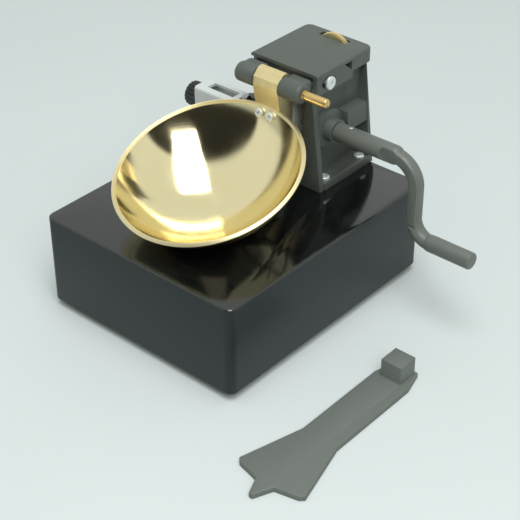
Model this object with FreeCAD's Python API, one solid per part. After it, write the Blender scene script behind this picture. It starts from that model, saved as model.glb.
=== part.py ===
import FreeCAD, Part
import math
import os

# Liquid limit device: a brass bowl hinged on a moulded tower above a hard rubber block,
# lifted by a hand cranked snail cam and counted by a stroke counter, with its grooving tool.
# Frame: +X to the crank side, +Y from the bowl to the tower, +Z up. The pieces are drawn about
# the middle of the block's footprint and saved about the middle of the whole layout, which
# takes in the crank and the loose tool. The bench is at Z = 0. All sizes are in millimetres.

os.makedirs("parts", exist_ok=True)

# Block and feet
BASE_W = 125.0
BASE_L = 150.0
BASE_H = 50.0
BASE_CORNER_R = 4.5
BASE_EDGE = 0.5
FOOT_H = 4.0
FOOT_D = 20.0
FOOT_TAPER = 1.0
FOOT_INSET = 16.0
FOOT_BORE_D = 9.0
FOOT_BORE_DEPTH = 2.4
FOOT_SCREW_D = 4.0
FOOT_SCREW_L = 12.0

# Where the mechanism stands on the block
MECH_X = 4.0
PIVOT_Y = 21.3
PIVOT_H = 60.0
DROP = 10.0

# Bowl
BOWL_INNER_R = 54.0
BOWL_WALL = 2.0
BOWL_DEPTH = 27.0
BOWL_TILT = 19.5
BOWL_REST_GAP = 0.1
BOWL_SCREW_PITCH = 7.0
BOWL_SCREW_DOWN = 3.3
BOWL_SCREW_D = 3.0
BOWL_SCREW_HEAD_D = 4.6
BOWL_SCREW_L = 9.0

# Hanger between the bowl and the pivot pin
HANGER_W = 16.0
HANGER_TOP = 6.1
HANGER_NOSE = 5.7
HANGER_NOSE_R = 6.5
HANGER_LIP = 1.5
HANGER_CROWN = 3.2
HANGER_SHOULDER = 1.0
HANGER_REAR = 7.7
HANGER_LOW = 37.0
HANGER_TOE_T = 7.0
HANGER_TOE_L = 2.0
HANGER_SEAT_L = 16.0
HANGER_SEAT_IN = 6.0
FOLLOWER_W = 11.0
FOLLOWER_H = 13.0
FOLLOWER_T = 1.5
FOLLOWER_SCREW_D = 2.5
FOLLOWER_SCREW_DOWN = 2.2
TRIP_PIN_D = 3.0
TRIP_PIN_BACK = 2.0
TRIP_PIN_LOW = 22.0
TRIP_PIN_L = 20.0
TRIP_PIN_IN = 5.0

# Pivot pin
PIN_D = 4.8
PIN_OUT = 15.0
PIN_NECK_D = 3.4
PIN_NECK_W = 1.6
PIN_NOSE = 0.7
PIN_LEFT = 17.0
PIN_END_ROOM = 0.5

# Running fits and gaps between moving pieces
FIT = 0.04
GAP = 0.3

# Tower housing
TOWER_BACK = 10.7
TOWER_FOOT_L = 44.7
TOWER_TOP_L = 40.4
TOWER_FOOT_HALF = 25.0
TOWER_TOP_HALF = 20.8
ROOF_OVER_PIVOT = 5.6
ROOF_LEFT = 22.0
ROOF_RIGHT = 21.0
ROOF_T = 2.0
ROOF_L = 45.9
ROOF_R = 4.2
ROOF_EDGE_R = 1.2
FLANGE_T = 4.0
RIM_T = 3.4
RIM_FOOT_HALF = 24.4
RIM_HEAD_HALF = 18.4
HEAD_DOWN = 16.0
HEAD_BLEND = 5.0
RECESS_REAR = 40.4
PANEL_FOOT_HALF = 13.2
PANEL_TOP_HALF = 17.5
WALL = 2.8
CORNER_R = 1.2
SKIRT_H = 7.8
SKIRT_L = 17.7
PAD_REAR = 28.4
PAD_BLEND = 12.0
NOTCH_L = 6.2
NOTCH_H = 5.0
LEDGE_H = 10.5
LEDGE_DOWN = 29.6
LEDGE_FRONT = 24.5
LEDGE_SET_IN = 0.6
BOSS_D = 21.0
BOSS_HALF = 19.0
BOSS_INNER_HALF = 11.0
BOSS_NOSE_D = 12.4
BOSS_NOSE_HALF = 24.2
RIB_T = 3.0
RIB_DOWN = 1.5
RIB_SET_IN = 0.5
RIB_L = 5.0
CHANNEL_HALF = 18.2
CHANNEL_H = 6.2
WEB_T = 3.5
WEB_H = 15.0
BRACKET_PAD_T = 4.5
TOWER_SCREW_HALF = 21.2
TOWER_SCREW_FRONT = 7.4
TOWER_SCREW_PITCH = 29.2
TOWER_SCREW_D = 3.5
TOWER_SCREW_HEAD_D = 5.6
TOWER_SCREW_L = 16.0

# Carriage that holds the pivot and slides in the roof channel
BARREL_D = 10.4
BARREL_LEFT = 20.3
BARREL_RIGHT = 21.5
BARREL_END_R = 1.9
HANGER_SIDE_GAP = 0.45
SLAB_HALF = 19.8
SLAB_TOP = 4.0
SLAB_LOW = 3.5
SLAB_REAR_GAP = 2.8
SLAB_R = 1.5
NECK_TOP = 1.0
NECK_L = 2.0
CARRIAGE_L = 28.0
CARRIAGE_GAP = 0.25
HANGER_BACK_ROOM = 1.2
LUG_HALF = 8.0
LUG_L = 12.0
LUG_H = 5.0
SLOT_L = 10.7
SLOT_W = 4.4
CLAMP_SCREW_D = 3.0
CLAMP_HEAD_D = 7.0
CLAMP_BACK = 9.2
CLAMP_DOWN = 6.65
CLAMP_SCREW_L = 10.0
CLAMP_DRAFT_GAP = 0.05

# Adjusting screw and its thumbwheel
SCREW_D = 5.0
SCREW_DOWN = 8.6
SCREW_IN = 8.0
WHEEL_D = 22.0
WHEEL_T = 3.0
WHEEL_BACK = 38.6
WHEEL_FRONT_LAND = 0.6
WHEEL_GROOVE_W = 0.8
WHEEL_GROOVE_DEPTH = 1.1
WHEEL_WEB_GAP = 0.4
WHEEL_SLOT_L = 18.4
WHEEL_SLOT_GAP = 0.4
WHEEL_POCKET_GAP = 1.0
WHEEL_POCKET_ROOF_T = 1.3
COLLAR_D = 9.0
COLLAR_T = 3.0

# Camshaft, cam and crank
CAM_BACK = 24.7
CAM_LOW = 29.8
SHAFT_D = 8.0
SHAFT_END_D = 6.0
SHAFT_END_L = 18.0
BUSH_OD = 11.0
NOSE_BORE_GAP = 0.2
CAM_T = 7.0
CAM_HUB_D = 15.0
CAM_HUB_L = 4.5
CAM_TURN = 300.0
CAM_CLEAR = 0.45
CAM_BACK_ADJUST = 0.5
CAM_FLANK_DEPTH = 2.6
CAM_ARCS = 8
GRUB_D = 3.0
GRUB_SUNK = 0.4
CLIP_T = 0.8
CLIP_D = 12.0
CLIP_GROOVE_D = 6.8
CLIP_GAP = 0.2
CLIP_MOUTH = 5.2
SHAFT_STUB = 2.3
CRANK_R = 42.0
CRANK_HUB_D = 10.0
CRANK_HUB_GAP = 0.3
CRANK_ARM_X = 78.1
CRANK_END_X = 114.1
CRANK_GRIP_D = 9.0
CRANK_GRIP_R = 1.1
CRANK_BEND_TOP = 14.0
CRANK_BEND_LOW = 11.0
ARM_T = 7.2
ARM_W = 8.6
ARM_FLAT = 3.3
ARM_FLAT_R = 6.6
CRANK_PIN_D = 2.0
CRANK_PIN_X = 8.0

# Stroke counter beside the tower
COUNTER_L = 27.0
COUNTER_W = 13.8
COUNTER_H = 18.0
COUNTER_BACK = 1.1
COUNTER_DOWN = 21.0
COUNTER_WALL = 1.5
COUNTER_END_T = 3.4
COUNTER_R = 1.6
COUNTER_WINDOW_L = 17.6
COUNTER_WINDOW_W = 6.0
COUNTER_WINDOW_OFF = 1.2
DIGIT_WHEELS = 5
DIGIT_PITCH = 3.5
DIGIT_W = 3.2
DIGIT_D = 10.2
SPINDLE_D = 2.4
KNOB_D = 13.4
KNOB_L = 7.8
KNOB_GAP = 0.5
KNOB_END_T = 1.5
KNOB_FLUTES = 18
KNOB_FLUTE_DEPTH = 0.5
BRACKET_T = 1.5
BRACKET_LOW = 13.0
BRACKET_PAD_HALF = 25.0
BRACKET_SCREW_D = 2.5
BRACKET_SCREW_L = 6.0
BRACKET_SCREW_HEAD_D = 4.5
BRACKET_SCREW_BACK = 2.25
BRACKET_SCREW_DOWN = 4.0
BRACKET_SCREW_PITCH = 6.0
CASE_SCREW_BACK = 3.2
CASE_SCREW_HALF = 5.6
LEVER_BORE_GAP = 0.5
LEVER_ANGLE = 11.4
LEVER_L = 13.5
LEVER_W = 4.0
LEVER_T = 3.0
LEVER_HUB_D = 4.6
LEVER_SHAFT_D = 3.0
LEVER_SHAFT_IN = 1.8
LEVER_GAP = 2.5
LEVER_END = 0.8

# Grooving tool with its 10 mm gauge block, lying beside the block
TOOL_X = 111.15
TOOL_TIP_Y = -116.9
TOOL_T = 3.0
TOOL_L = 116.0
TOOL_HANDLE_W = 20.3
TOOL_WING_W = 38.7
TOOL_WING_Y = 12.5
TOOL_WING_CUT = 2.0
TOOL_WAIST_Y = 48.5
TOOL_SHOULDER_Y = 103.5
TOOL_END_W = 13.5
TOOL_TOOTH_W = 10.4
TOOL_TOOTH_L = 9.7
TOOL_TIP_W = 2.0
TOOL_EDGE = 0.4
GAUGE = 10.0
GAUGE_SIDE = 11.8
GAUGE_FROM_TIP = 102.4

# Shares that all pan head screws have
HEAD_H_SHARE = 0.55
HEAD_EDGE_SHARE = 0.3

# Places worked out from the sizes above
V = FreeCAD.Vector
UP = V(0, 0, 1)
RIGHT = V(1, 0, 0)
BACK = V(0, 1, 0)
BASE_TOP = FOOT_H + BASE_H
PIVOT_Z = BASE_TOP + PIVOT_H
BOWL_R = BOWL_INNER_R + BOWL_WALL
BOWL_CENTRE = V(MECH_X, PIVOT_Y - BOWL_R, BASE_TOP + BOWL_REST_GAP + BOWL_R)
RIM_DROP = BOWL_INNER_R - BOWL_DEPTH
CAM_Y = PIVOT_Y + CAM_BACK
CAM_Z = PIVOT_Z - CAM_LOW
TOWER_FRONT_Y = PIVOT_Y + TOWER_BACK
TOWER_TOP = PIVOT_Z + ROOF_OVER_PIVOT
TOWER_H = TOWER_TOP - BASE_TOP
ROOF_UNDER = TOWER_TOP - ROOF_T
HEAD_LOW = TOWER_TOP - HEAD_DOWN
CHANNEL_LOW = ROOF_UNDER - CHANNEL_H
SKIRT_Y = TOWER_FRONT_Y + ROOF_L - SKIRT_L
SCREW_Z = TOWER_TOP - SCREW_DOWN
SCREW_FRONT_Y = TOWER_FRONT_Y + SCREW_IN
WHEEL_FRONT_Y = TOWER_FRONT_Y + WHEEL_BACK
WEB_Y = WHEEL_FRONT_Y - WHEEL_WEB_GAP - WEB_T
CARRIAGE_REAR_Y = TOWER_FRONT_Y + CARRIAGE_L
CLAMP_Y = TOWER_FRONT_Y + CLAMP_BACK
CLAMP_Z = TOWER_TOP - CLAMP_DOWN
COUNTER_RIGHT = MECH_X - BRACKET_PAD_HALF - BRACKET_T
COUNTER_FRONT_Y = PIVOT_Y + COUNTER_BACK
COUNTER_Y = COUNTER_FRONT_Y + COUNTER_W / 2
COUNTER_TOP_Z = PIVOT_Z - COUNTER_DOWN
COUNTER_Z = COUNTER_TOP_Z - COUNTER_H / 2
HANGER_GAP_HALF = HANGER_W / 2 + HANGER_SIDE_GAP
BORE_R = PIN_D / 2 + FIT
LAYOUT_X = (TOOL_X + TOOL_WING_W / 2 - BASE_W / 2) / 2
LAYOUT_Y = (TOOL_TIP_Y + TOWER_FRONT_Y + ROOF_L) / 2


def box(x0, x1, y0, y1, z0, z1):
    return Part.makeBox(x1 - x0, y1 - y0, z1 - z0, V(x0, y0, z0))


def rod(d, start, axis, length):
    return Part.makeCylinder(d / 2, length, start, axis)


def pipe(d, bore, start, axis, length):
    return rod(d, start, axis, length).cut(rod(bore, start, axis, length))


def prism(points, direction):
    """Closed outline of 3-D points pushed along a vector."""
    return Part.Face(Part.makePolygon(points + points[:1])).extrude(direction)


def steep_edges(shape, axis):
    """Straight edges of a shape that run mostly along an axis."""
    found = []
    for edge in shape.Edges:
        if not isinstance(edge.Curve, Part.Line):
            continue
        run = edge.lastVertex().Point - edge.firstVertex().Point
        if abs(run.dot(axis)) > 0.9 * edge.Length:
            found.append(edge)
    return found


def edges_at(shape, axis, place):
    """Edges whose both ends lie at one place along an axis."""
    near = []
    for edge in shape.Edges:
        ends = [v.Point.dot(axis) for v in edge.Vertexes]
        if all(abs(end - place) < 1e-4 for end in ends) and abs(edge.CenterOfMass.dot(axis) - place) < 1e-4:
            near.append(edge)
    return near


def edge_near(shape, point):
    """The edge whose middle lies nearest to a point."""
    return min(shape.Edges, key=lambda edge: edge.CenterOfMass.distanceToPoint(point))


def slot_bar(width, thick, a, b):
    """Bar with round ends between two points in a YZ plane, pushed along X."""
    run = b - a
    side = V(0, -run.z, run.y).normalize() * (width / 2)
    body = prism([a + side, b + side, b - side, a - side], RIGHT * thick)
    ends = rod(width, a, RIGHT, thick).fuse(rod(width, b, RIGHT, thick))
    return body.fuse(ends).removeSplitter()


def pan_screw(seat, axis, shank_d, head_d, length):
    """Pan head screw: seat under the head, axis out of the head."""
    head_h = HEAD_H_SHARE * shank_d
    head = Part.makeCylinder(head_d / 2, head_h)
    head = head.makeChamfer(HEAD_EDGE_SHARE * head_h, edges_at(head, UP, head_h))
    shank = Part.makeCylinder(shank_d / 2, length, V(0, 0, -length))
    screw = head.fuse(shank).removeSplitter()
    screw.Placement = FreeCAD.Placement(seat, FreeCAD.Rotation(UP, axis))
    return screw


def save(name, *solids):
    shape = solids[0].copy() if len(solids) == 1 else Part.makeCompound(list(solids))
    shape.translate(V(-LAYOUT_X, -LAYOUT_Y, 0))
    shape.exportStep("parts/" + name + ".step")


def both_sides(shape):
    """A shape and its mirror image across the mechanism's middle plane."""
    return [shape, shape.mirror(V(MECH_X, 0, 0), RIGHT)]


def foot_centres():
    return [V(sx * (BASE_W / 2 - FOOT_INSET), sy * (BASE_L / 2 - FOOT_INSET), 0)
            for sx in (-1, 1) for sy in (-1, 1)]


def tower_screw_seats():
    front = TOWER_FRONT_Y + TOWER_SCREW_FRONT
    return [V(MECH_X + side * TOWER_SCREW_HALF, y, BASE_TOP + FLANGE_T)
            for side in (-1, 1) for y in (front, front + TOWER_SCREW_PITCH)]


# Hard rubber block with soft corners, on four screwed feet
def base_block():
    block = box(-BASE_W / 2, BASE_W / 2, -BASE_L / 2, BASE_L / 2, FOOT_H, BASE_TOP)
    block = block.makeFillet(BASE_CORNER_R, steep_edges(block, UP))
    rims = edges_at(block, UP, BASE_TOP) + edges_at(block, UP, FOOT_H)
    block = block.makeChamfer(BASE_EDGE, rims)
    for centre in foot_centres():
        block = block.cut(rod(FOOT_SCREW_D, centre + UP * FOOT_H, UP, FOOT_SCREW_L - FOOT_H + FOOT_BORE_DEPTH))
    for seat in tower_screw_seats():
        depth = TOWER_SCREW_L - FLANGE_T
        block = block.cut(rod(TOWER_SCREW_D, V(seat.x, seat.y, BASE_TOP - depth), UP, depth))
    return block


def rubber_foot(centre):
    foot = Part.makeCone(FOOT_D / 2 - FOOT_TAPER, FOOT_D / 2, FOOT_H, centre, UP)
    foot = foot.cut(rod(FOOT_BORE_D, centre, UP, FOOT_BORE_DEPTH))
    return foot.cut(rod(FOOT_SCREW_D, centre, UP, FOOT_H))


def foot_screw(centre):
    length = FOOT_SCREW_L
    return pan_screw(centre + UP * FOOT_BORE_DEPTH, -UP, FOOT_SCREW_D, 0.8 * FOOT_BORE_D, length)


# Moulded tower: drafted outside, side panels set in between the rims, hollow below the roof
def between(foot_value, top_value, z):
    return foot_value + (top_value - foot_value) * (z - BASE_TOP) / TOWER_H


def panel_half(z):
    return between(PANEL_FOOT_HALF, PANEL_TOP_HALF, z)


def outer_half(z):
    return between(TOWER_FOOT_HALF, TOWER_TOP_HALF, z)


def rear_y(z):
    return TOWER_FRONT_Y + between(TOWER_FOOT_L, TOWER_TOP_L, z)


def drafted_block(low, high, front_y):
    """Block with a straight front and drafted sides, each end given as half width, rear Y and Z."""
    (half0, rear0, z0), (half1, rear1, z1) = low, high
    side = [V(MECH_X - BASE_W, y, z) for y, z in ((front_y, z0), (rear0, z0), (rear1, z1), (front_y, z1))]
    front = [V(MECH_X + x, front_y, z) for x, z in ((-half0, z0), (half0, z0), (half1, z1), (-half1, z1))]
    return prism(side, RIGHT * 2 * BASE_W).common(prism(front, BACK * BASE_L))


def side_prism(profile, y0, y1):
    """Profile of (half width, height) points pushed along Y."""
    points = [V(MECH_X + half, y0, z) for half, z in profile]
    return prism(points, BACK * (y1 - y0))


def side_recess():
    low = BASE_TOP + FLANGE_T
    outside = 2 * TOWER_FOOT_HALF
    profile = [(panel_half(low), low), (outside, low), (outside, TOWER_TOP), (panel_half(TOWER_TOP), TOWER_TOP)]
    return side_prism(profile, TOWER_FRONT_Y + RIM_T, TOWER_FRONT_Y + RECESS_REAR)


def rim_trim():
    """What the front rim loses outside its own steeper draft, up to the step below the head."""
    outside = 2 * TOWER_FOOT_HALF
    high = HEAD_LOW + HEAD_BLEND
    profile = [(RIM_FOOT_HALF, BASE_TOP), (outside, BASE_TOP), (outside, high), (outer_half(high), high),
               (RIM_HEAD_HALF, HEAD_LOW)]
    return side_prism(profile, TOWER_FRONT_Y - RIM_T, TOWER_FRONT_Y + RIM_T)


def clamp_pad():
    """Thick side wall of the head that the clamp screw bears on, blended into the panel below."""
    low = HEAD_LOW - PAD_BLEND
    high = HEAD_LOW + HEAD_BLEND
    inner = panel_half(low) - WALL / 2
    profile = [(inner, low), (panel_half(low), low), (RIM_HEAD_HALF, HEAD_LOW), (outer_half(high), high),
               (outer_half(ROOF_UNDER), ROOF_UNDER), (inner, ROOF_UNDER)]
    rear = TOWER_FRONT_Y + PAD_REAR
    pad = side_prism(profile, TOWER_FRONT_Y + RIM_T, rear)
    notch = [V(0, rear - NOTCH_L, ROOF_UNDER), V(0, rear, ROOF_UNDER - NOTCH_H), V(0, rear, ROOF_UNDER)]
    return pad.cut(prism(notch, RIGHT * BASE_W))


def side_ledge():
    high = TOWER_TOP - LEDGE_DOWN
    low = high - LEDGE_H
    profile = [(panel_half(low) - WALL / 2, low), (outer_half(low) - LEDGE_SET_IN, low),
               (outer_half(high) - LEDGE_SET_IN, high), (panel_half(high) - WALL / 2, high)]
    return side_prism(profile, TOWER_FRONT_Y + LEDGE_FRONT, TOWER_FRONT_Y + RECESS_REAR)


def boss_rib():
    high = CAM_Z - RIB_DOWN
    low = high - RIB_T
    reach = BOSS_HALF - RIB_SET_IN
    profile = [(panel_half(low) - WALL / 2, low), (reach, low), (reach, high), (panel_half(high) - WALL / 2, high)]
    front = TOWER_FRONT_Y + RIM_T
    return side_prism(profile, front, front + RIB_L)


def roof():
    rear = TOWER_FRONT_Y + ROOF_L
    left = MECH_X - ROOF_LEFT
    right = MECH_X + ROOF_RIGHT
    cap = box(left, right, TOWER_FRONT_Y, rear, TOWER_TOP - SKIRT_H, TOWER_TOP)
    corners = [e for e in steep_edges(cap, UP) if e.CenterOfMass.y > SKIRT_Y]
    cap = cap.makeFillet(ROOF_R, corners)
    upper = [e for e in edges_at(cap, UP, TOWER_TOP) if e.CenterOfMass.y > TOWER_FRONT_Y + ROOF_T]
    cap = cap.makeFillet(ROOF_EDGE_R, upper)
    under_front = box(left, right, TOWER_FRONT_Y, SKIRT_Y, 0, ROOF_UNDER)
    inner = box(left + WALL, right - WALL, TOWER_FRONT_Y, rear - WALL, 0, ROOF_UNDER)
    return cap.cut(under_front).cut(inner)


def shaft_boss():
    """Round boss for the bush, with a nose that covers the bush's end."""
    centre = V(MECH_X + BOSS_INNER_HALF, CAM_Y, CAM_Z)
    boss = rod(BOSS_D, centre, RIGHT, BOSS_HALF - BOSS_INNER_HALF)
    nose = rod(BOSS_NOSE_D, centre, RIGHT, BOSS_NOSE_HALF - BOSS_INNER_HALF)
    return boss.fuse(nose)


def shaft_bore():
    centre = V(MECH_X, CAM_Y, CAM_Z)
    bore = rod(BUSH_OD, centre, RIGHT, BOSS_HALF)
    return bore.fuse(rod(SHAFT_D + 2 * NOSE_BORE_GAP, centre, RIGHT, BOSS_NOSE_HALF))


def tower_housing():
    body = drafted_block((TOWER_FOOT_HALF, rear_y(BASE_TOP), BASE_TOP),
                         (outer_half(ROOF_UNDER), rear_y(ROOF_UNDER), ROOF_UNDER), TOWER_FRONT_Y)
    body = body.makeFillet(CORNER_R, steep_edges(body, UP))
    for recess in both_sides(side_recess()) + both_sides(rim_trim()):
        body = body.cut(recess)
    for piece in (clamp_pad(), side_ledge(), boss_rib()):
        for side in both_sides(piece):
            body = body.fuse(side)
    body = body.fuse(roof())
    pad_high = COUNTER_TOP_Z + GAP
    pad_low = COUNTER_TOP_Z - COUNTER_H - BRACKET_LOW - GAP
    bracket_pad = box(MECH_X - BRACKET_PAD_HALF, MECH_X - PANEL_FOOT_HALF, TOWER_FRONT_Y,
                      TOWER_FRONT_Y + BRACKET_PAD_T, pad_low, pad_high)
    body = body.fuse(bracket_pad)
    # hollow inside, the roof channel for the carriage and the pocket for the thumbwheel
    hollow = drafted_block((PANEL_FOOT_HALF - WALL, rear_y(BASE_TOP) - WALL, BASE_TOP),
                           (panel_half(CHANNEL_LOW) - WALL, rear_y(CHANNEL_LOW) - WALL, CHANNEL_LOW), 0)
    channel = box(MECH_X - CHANNEL_HALF, MECH_X + CHANNEL_HALF, 0, WEB_Y, CHANNEL_LOW, ROOF_UNDER)
    pocket_half = WHEEL_D / 2 + WHEEL_POCKET_GAP
    pocket = box(MECH_X - pocket_half, MECH_X + pocket_half, WEB_Y + WEB_T, TOWER_FRONT_Y + ROOF_L - WALL,
                 SCREW_Z - pocket_half, TOWER_TOP - WHEEL_POCKET_ROOF_T)
    body = body.cut(hollow).cut(channel).cut(pocket)
    web_half = panel_half(SCREW_Z) - WALL / 2
    web = box(MECH_X - web_half, MECH_X + web_half, WEB_Y, WEB_Y + WEB_T, TOWER_TOP - WEB_H, ROOF_UNDER)
    body = body.fuse(web)
    for boss in both_sides(shaft_boss()):
        body = body.fuse(boss)
    # bores and slots
    for bore in both_sides(shaft_bore()) + both_sides(clamp_slot()):
        body = body.cut(bore)
    body = body.cut(rod(SCREW_D + 2 * FIT, V(MECH_X, WEB_Y, SCREW_Z), BACK, WEB_T))
    roof_slot_y = WHEEL_FRONT_Y - WHEEL_SLOT_GAP
    body = body.cut(box(MECH_X - WHEEL_SLOT_L / 2, MECH_X + WHEEL_SLOT_L / 2, roof_slot_y,
                        roof_slot_y + WHEEL_T + 2 * WHEEL_SLOT_GAP, ROOF_UNDER, TOWER_TOP))
    for seat in tower_screw_seats():
        body = body.cut(rod(TOWER_SCREW_D, seat - UP * FLANGE_T, UP, FLANGE_T))
    for seat in bracket_screw_seats()[:2]:
        body = body.cut(rod(BRACKET_SCREW_D, seat, RIGHT, BRACKET_SCREW_L))
    return body.removeSplitter()


def clamp_slot():
    reach = (SLOT_L - SLOT_W) / 2
    a = V(MECH_X + CHANNEL_HALF, CLAMP_Y - reach, CLAMP_Z)
    b = V(a.x, CLAMP_Y + reach, CLAMP_Z)
    return slot_bar(SLOT_W, TOWER_FOOT_HALF - CHANNEL_HALF, a, b)


# Carriage: two barrels for the pivot pin on a slab, and a plate in the roof channel
def carriage():
    plate_half = CHANNEL_HALF - CARRIAGE_GAP
    low = CHANNEL_LOW + CARRIAGE_GAP
    high = ROOF_UNDER - CARRIAGE_GAP
    slab_rear = TOWER_FRONT_Y - SLAB_REAR_GAP
    slab = box(MECH_X - SLAB_HALF, MECH_X + SLAB_HALF, PIVOT_Y, slab_rear, PIVOT_Z - SLAB_LOW, PIVOT_Z + SLAB_TOP)
    slab = slab.makeFillet(SLAB_R, [e for e in steep_edges(slab, UP) if e.CenterOfMass.y > PIVOT_Y + SLAB_R])
    plate = box(MECH_X - plate_half, MECH_X + plate_half, slab_rear - SLAB_R, CARRIAGE_REAR_Y, low, high)
    plate = plate.cut(box(MECH_X - plate_half, MECH_X + plate_half, slab_rear, TOWER_FRONT_Y + NECK_L,
                          PIVOT_Z + NECK_TOP, TOWER_TOP))
    lug = box(MECH_X - LUG_HALF, MECH_X + LUG_HALF, CARRIAGE_REAR_Y - LUG_L, CARRIAGE_REAR_Y, low - LUG_H, high)
    body = slab.fuse(plate).fuse(lug).fuse(barrel())
    gap_rear = PIVOT_Y + HANGER_REAR + HANGER_BACK_ROOM
    body = body.cut(box(MECH_X - HANGER_GAP_HALF, MECH_X + HANGER_GAP_HALF, 0, gap_rear, 0, 2 * TOWER_TOP))
    body = body.cut(rod(2 * BORE_R, V(MECH_X - PIN_LEFT - PIN_END_ROOM, PIVOT_Y, PIVOT_Z), RIGHT, BASE_W))
    body = body.cut(rod(SCREW_D + 2 * FIT, V(MECH_X, gap_rear, SCREW_Z), BACK, BASE_L))
    for hole in both_sides(rod(CLAMP_SCREW_D, V(MECH_X + plate_half, CLAMP_Y, CLAMP_Z), -RIGHT, CLAMP_SCREW_L)):
        body = body.cut(hole)
    return body.removeSplitter()


def barrel():
    left = MECH_X - BARREL_LEFT
    right = MECH_X + BARREL_RIGHT
    body = rod(BARREL_D, V(left, PIVOT_Y, PIVOT_Z), RIGHT, right - left)
    return body.makeFillet(BARREL_END_R, edges_at(body, RIGHT, left) + edges_at(body, RIGHT, right))


def clamp_seat():
    return V(MECH_X + outer_half(CLAMP_Z - CLAMP_HEAD_D / 2) + CLAMP_DRAFT_GAP, CLAMP_Y, CLAMP_Z)


def clamp_screw():
    seat = clamp_seat()
    length = seat.x - MECH_X - CHANNEL_HALF + CARRIAGE_GAP + CLAMP_SCREW_L
    return pan_screw(seat, RIGHT, CLAMP_SCREW_D, CLAMP_HEAD_D, length)


# Adjusting screw, its thumbwheel and the collar in front of the web
def adjusting_screw():
    start = V(MECH_X, SCREW_FRONT_Y, SCREW_Z)
    length = WHEEL_FRONT_Y + WHEEL_T - SCREW_FRONT_Y
    screw = rod(SCREW_D, start, BACK, length)
    return screw.makeChamfer(0.1 * SCREW_D, edges_at(screw, BACK, SCREW_FRONT_Y))


def screw_collar():
    start = V(MECH_X, WEB_Y - WHEEL_WEB_GAP - COLLAR_T, SCREW_Z)
    return pipe(COLLAR_D, SCREW_D, start, BACK, COLLAR_T)


def thumbwheel():
    start = V(MECH_X, WHEEL_FRONT_Y, SCREW_Z)
    wheel = pipe(WHEEL_D, SCREW_D, start, BACK, WHEEL_T)
    groove_start = start + BACK * WHEEL_FRONT_LAND
    return wheel.cut(pipe(2 * WHEEL_D, WHEEL_D - 2 * WHEEL_GROOVE_DEPTH, groove_start, BACK, WHEEL_GROOVE_W))


# Brass bowl: part of a sphere, tilted on its hanger, with two screws below the rear lip
def bowl_frame(shape):
    shape.rotate(V(0, 0, 0), RIGHT, BOWL_TILT)
    shape.translate(BOWL_CENTRE)
    return shape


def sphere_slice(radius):
    """Point on the bowl's profile at the rim for one sphere radius."""
    return V(math.sqrt(radius ** 2 - RIM_DROP ** 2), 0, -RIM_DROP)


def profile_arc(radius):
    rim = sphere_slice(radius)
    angle = (math.atan2(rim.z, rim.x) - math.pi / 2) / 2
    middle = V(radius * math.cos(angle), 0, radius * math.sin(angle))
    return Part.Arc(V(0, 0, -radius), middle, rim).toShape()


def bowl():
    outer = profile_arc(BOWL_R)
    inner = profile_arc(BOWL_INNER_R)
    lip = Part.LineSegment(sphere_slice(BOWL_R), sphere_slice(BOWL_INNER_R)).toShape()
    axis = Part.LineSegment(V(0, 0, -BOWL_INNER_R), V(0, 0, -BOWL_R)).toShape()
    shell = Part.Face(Part.Wire(Part.__sortEdges__([outer, lip, inner, axis]))).revolve(V(0, 0, 0), UP, 360)
    shell = bowl_frame(shell)
    for seat, axis in bowl_screw_seats():
        shell = shell.cut(rod(BOWL_SCREW_D, seat + axis * BOWL_WALL, -axis, 3 * BOWL_WALL))
    return shell


def bowl_room():
    """All that lies inside the bowl's outer surface and below its rim."""
    ball = Part.makeSphere(BOWL_R)
    return bowl_frame(ball.cut(box(-BOWL_R, BOWL_R, -BOWL_R, BOWL_R, -RIM_DROP, BOWL_R)))


def rear_rim(radius):
    """Rearmost point of the rim at one sphere radius, on the tilted bowl."""
    tilt = math.radians(BOWL_TILT)
    wide = sphere_slice(radius).x
    back = wide * math.cos(tilt) + RIM_DROP * math.sin(tilt)
    up = wide * math.sin(tilt) - RIM_DROP * math.cos(tilt)
    return BOWL_CENTRE + V(0, back, up)


def bowl_screw_seats():
    """Seats on the bowl's inside and the direction that each head faces."""
    rim = rear_rim(BOWL_INNER_R) - BOWL_CENTRE
    angle = math.atan2(-rim.z, rim.y) + BOWL_SCREW_DOWN / BOWL_INNER_R
    inward = V(0, -math.cos(angle), math.sin(angle))
    seats = []
    for side in (-1, 1):
        half = side * BOWL_SCREW_PITCH / 2
        depth = math.sqrt(BOWL_INNER_R ** 2 - (BOWL_SCREW_PITCH / 2 + BOWL_SCREW_HEAD_D / 2) ** 2)
        seats.append((BOWL_CENTRE + RIGHT * half - inward * depth, inward))
    return seats


# Hanger: a block round the pin that sits on the bowl's rim and back, with a toe down to the cam
def pivot_point(back, up):
    return V(MECH_X - HANGER_W / 2, PIVOT_Y + back, PIVOT_Z + up)


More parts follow.
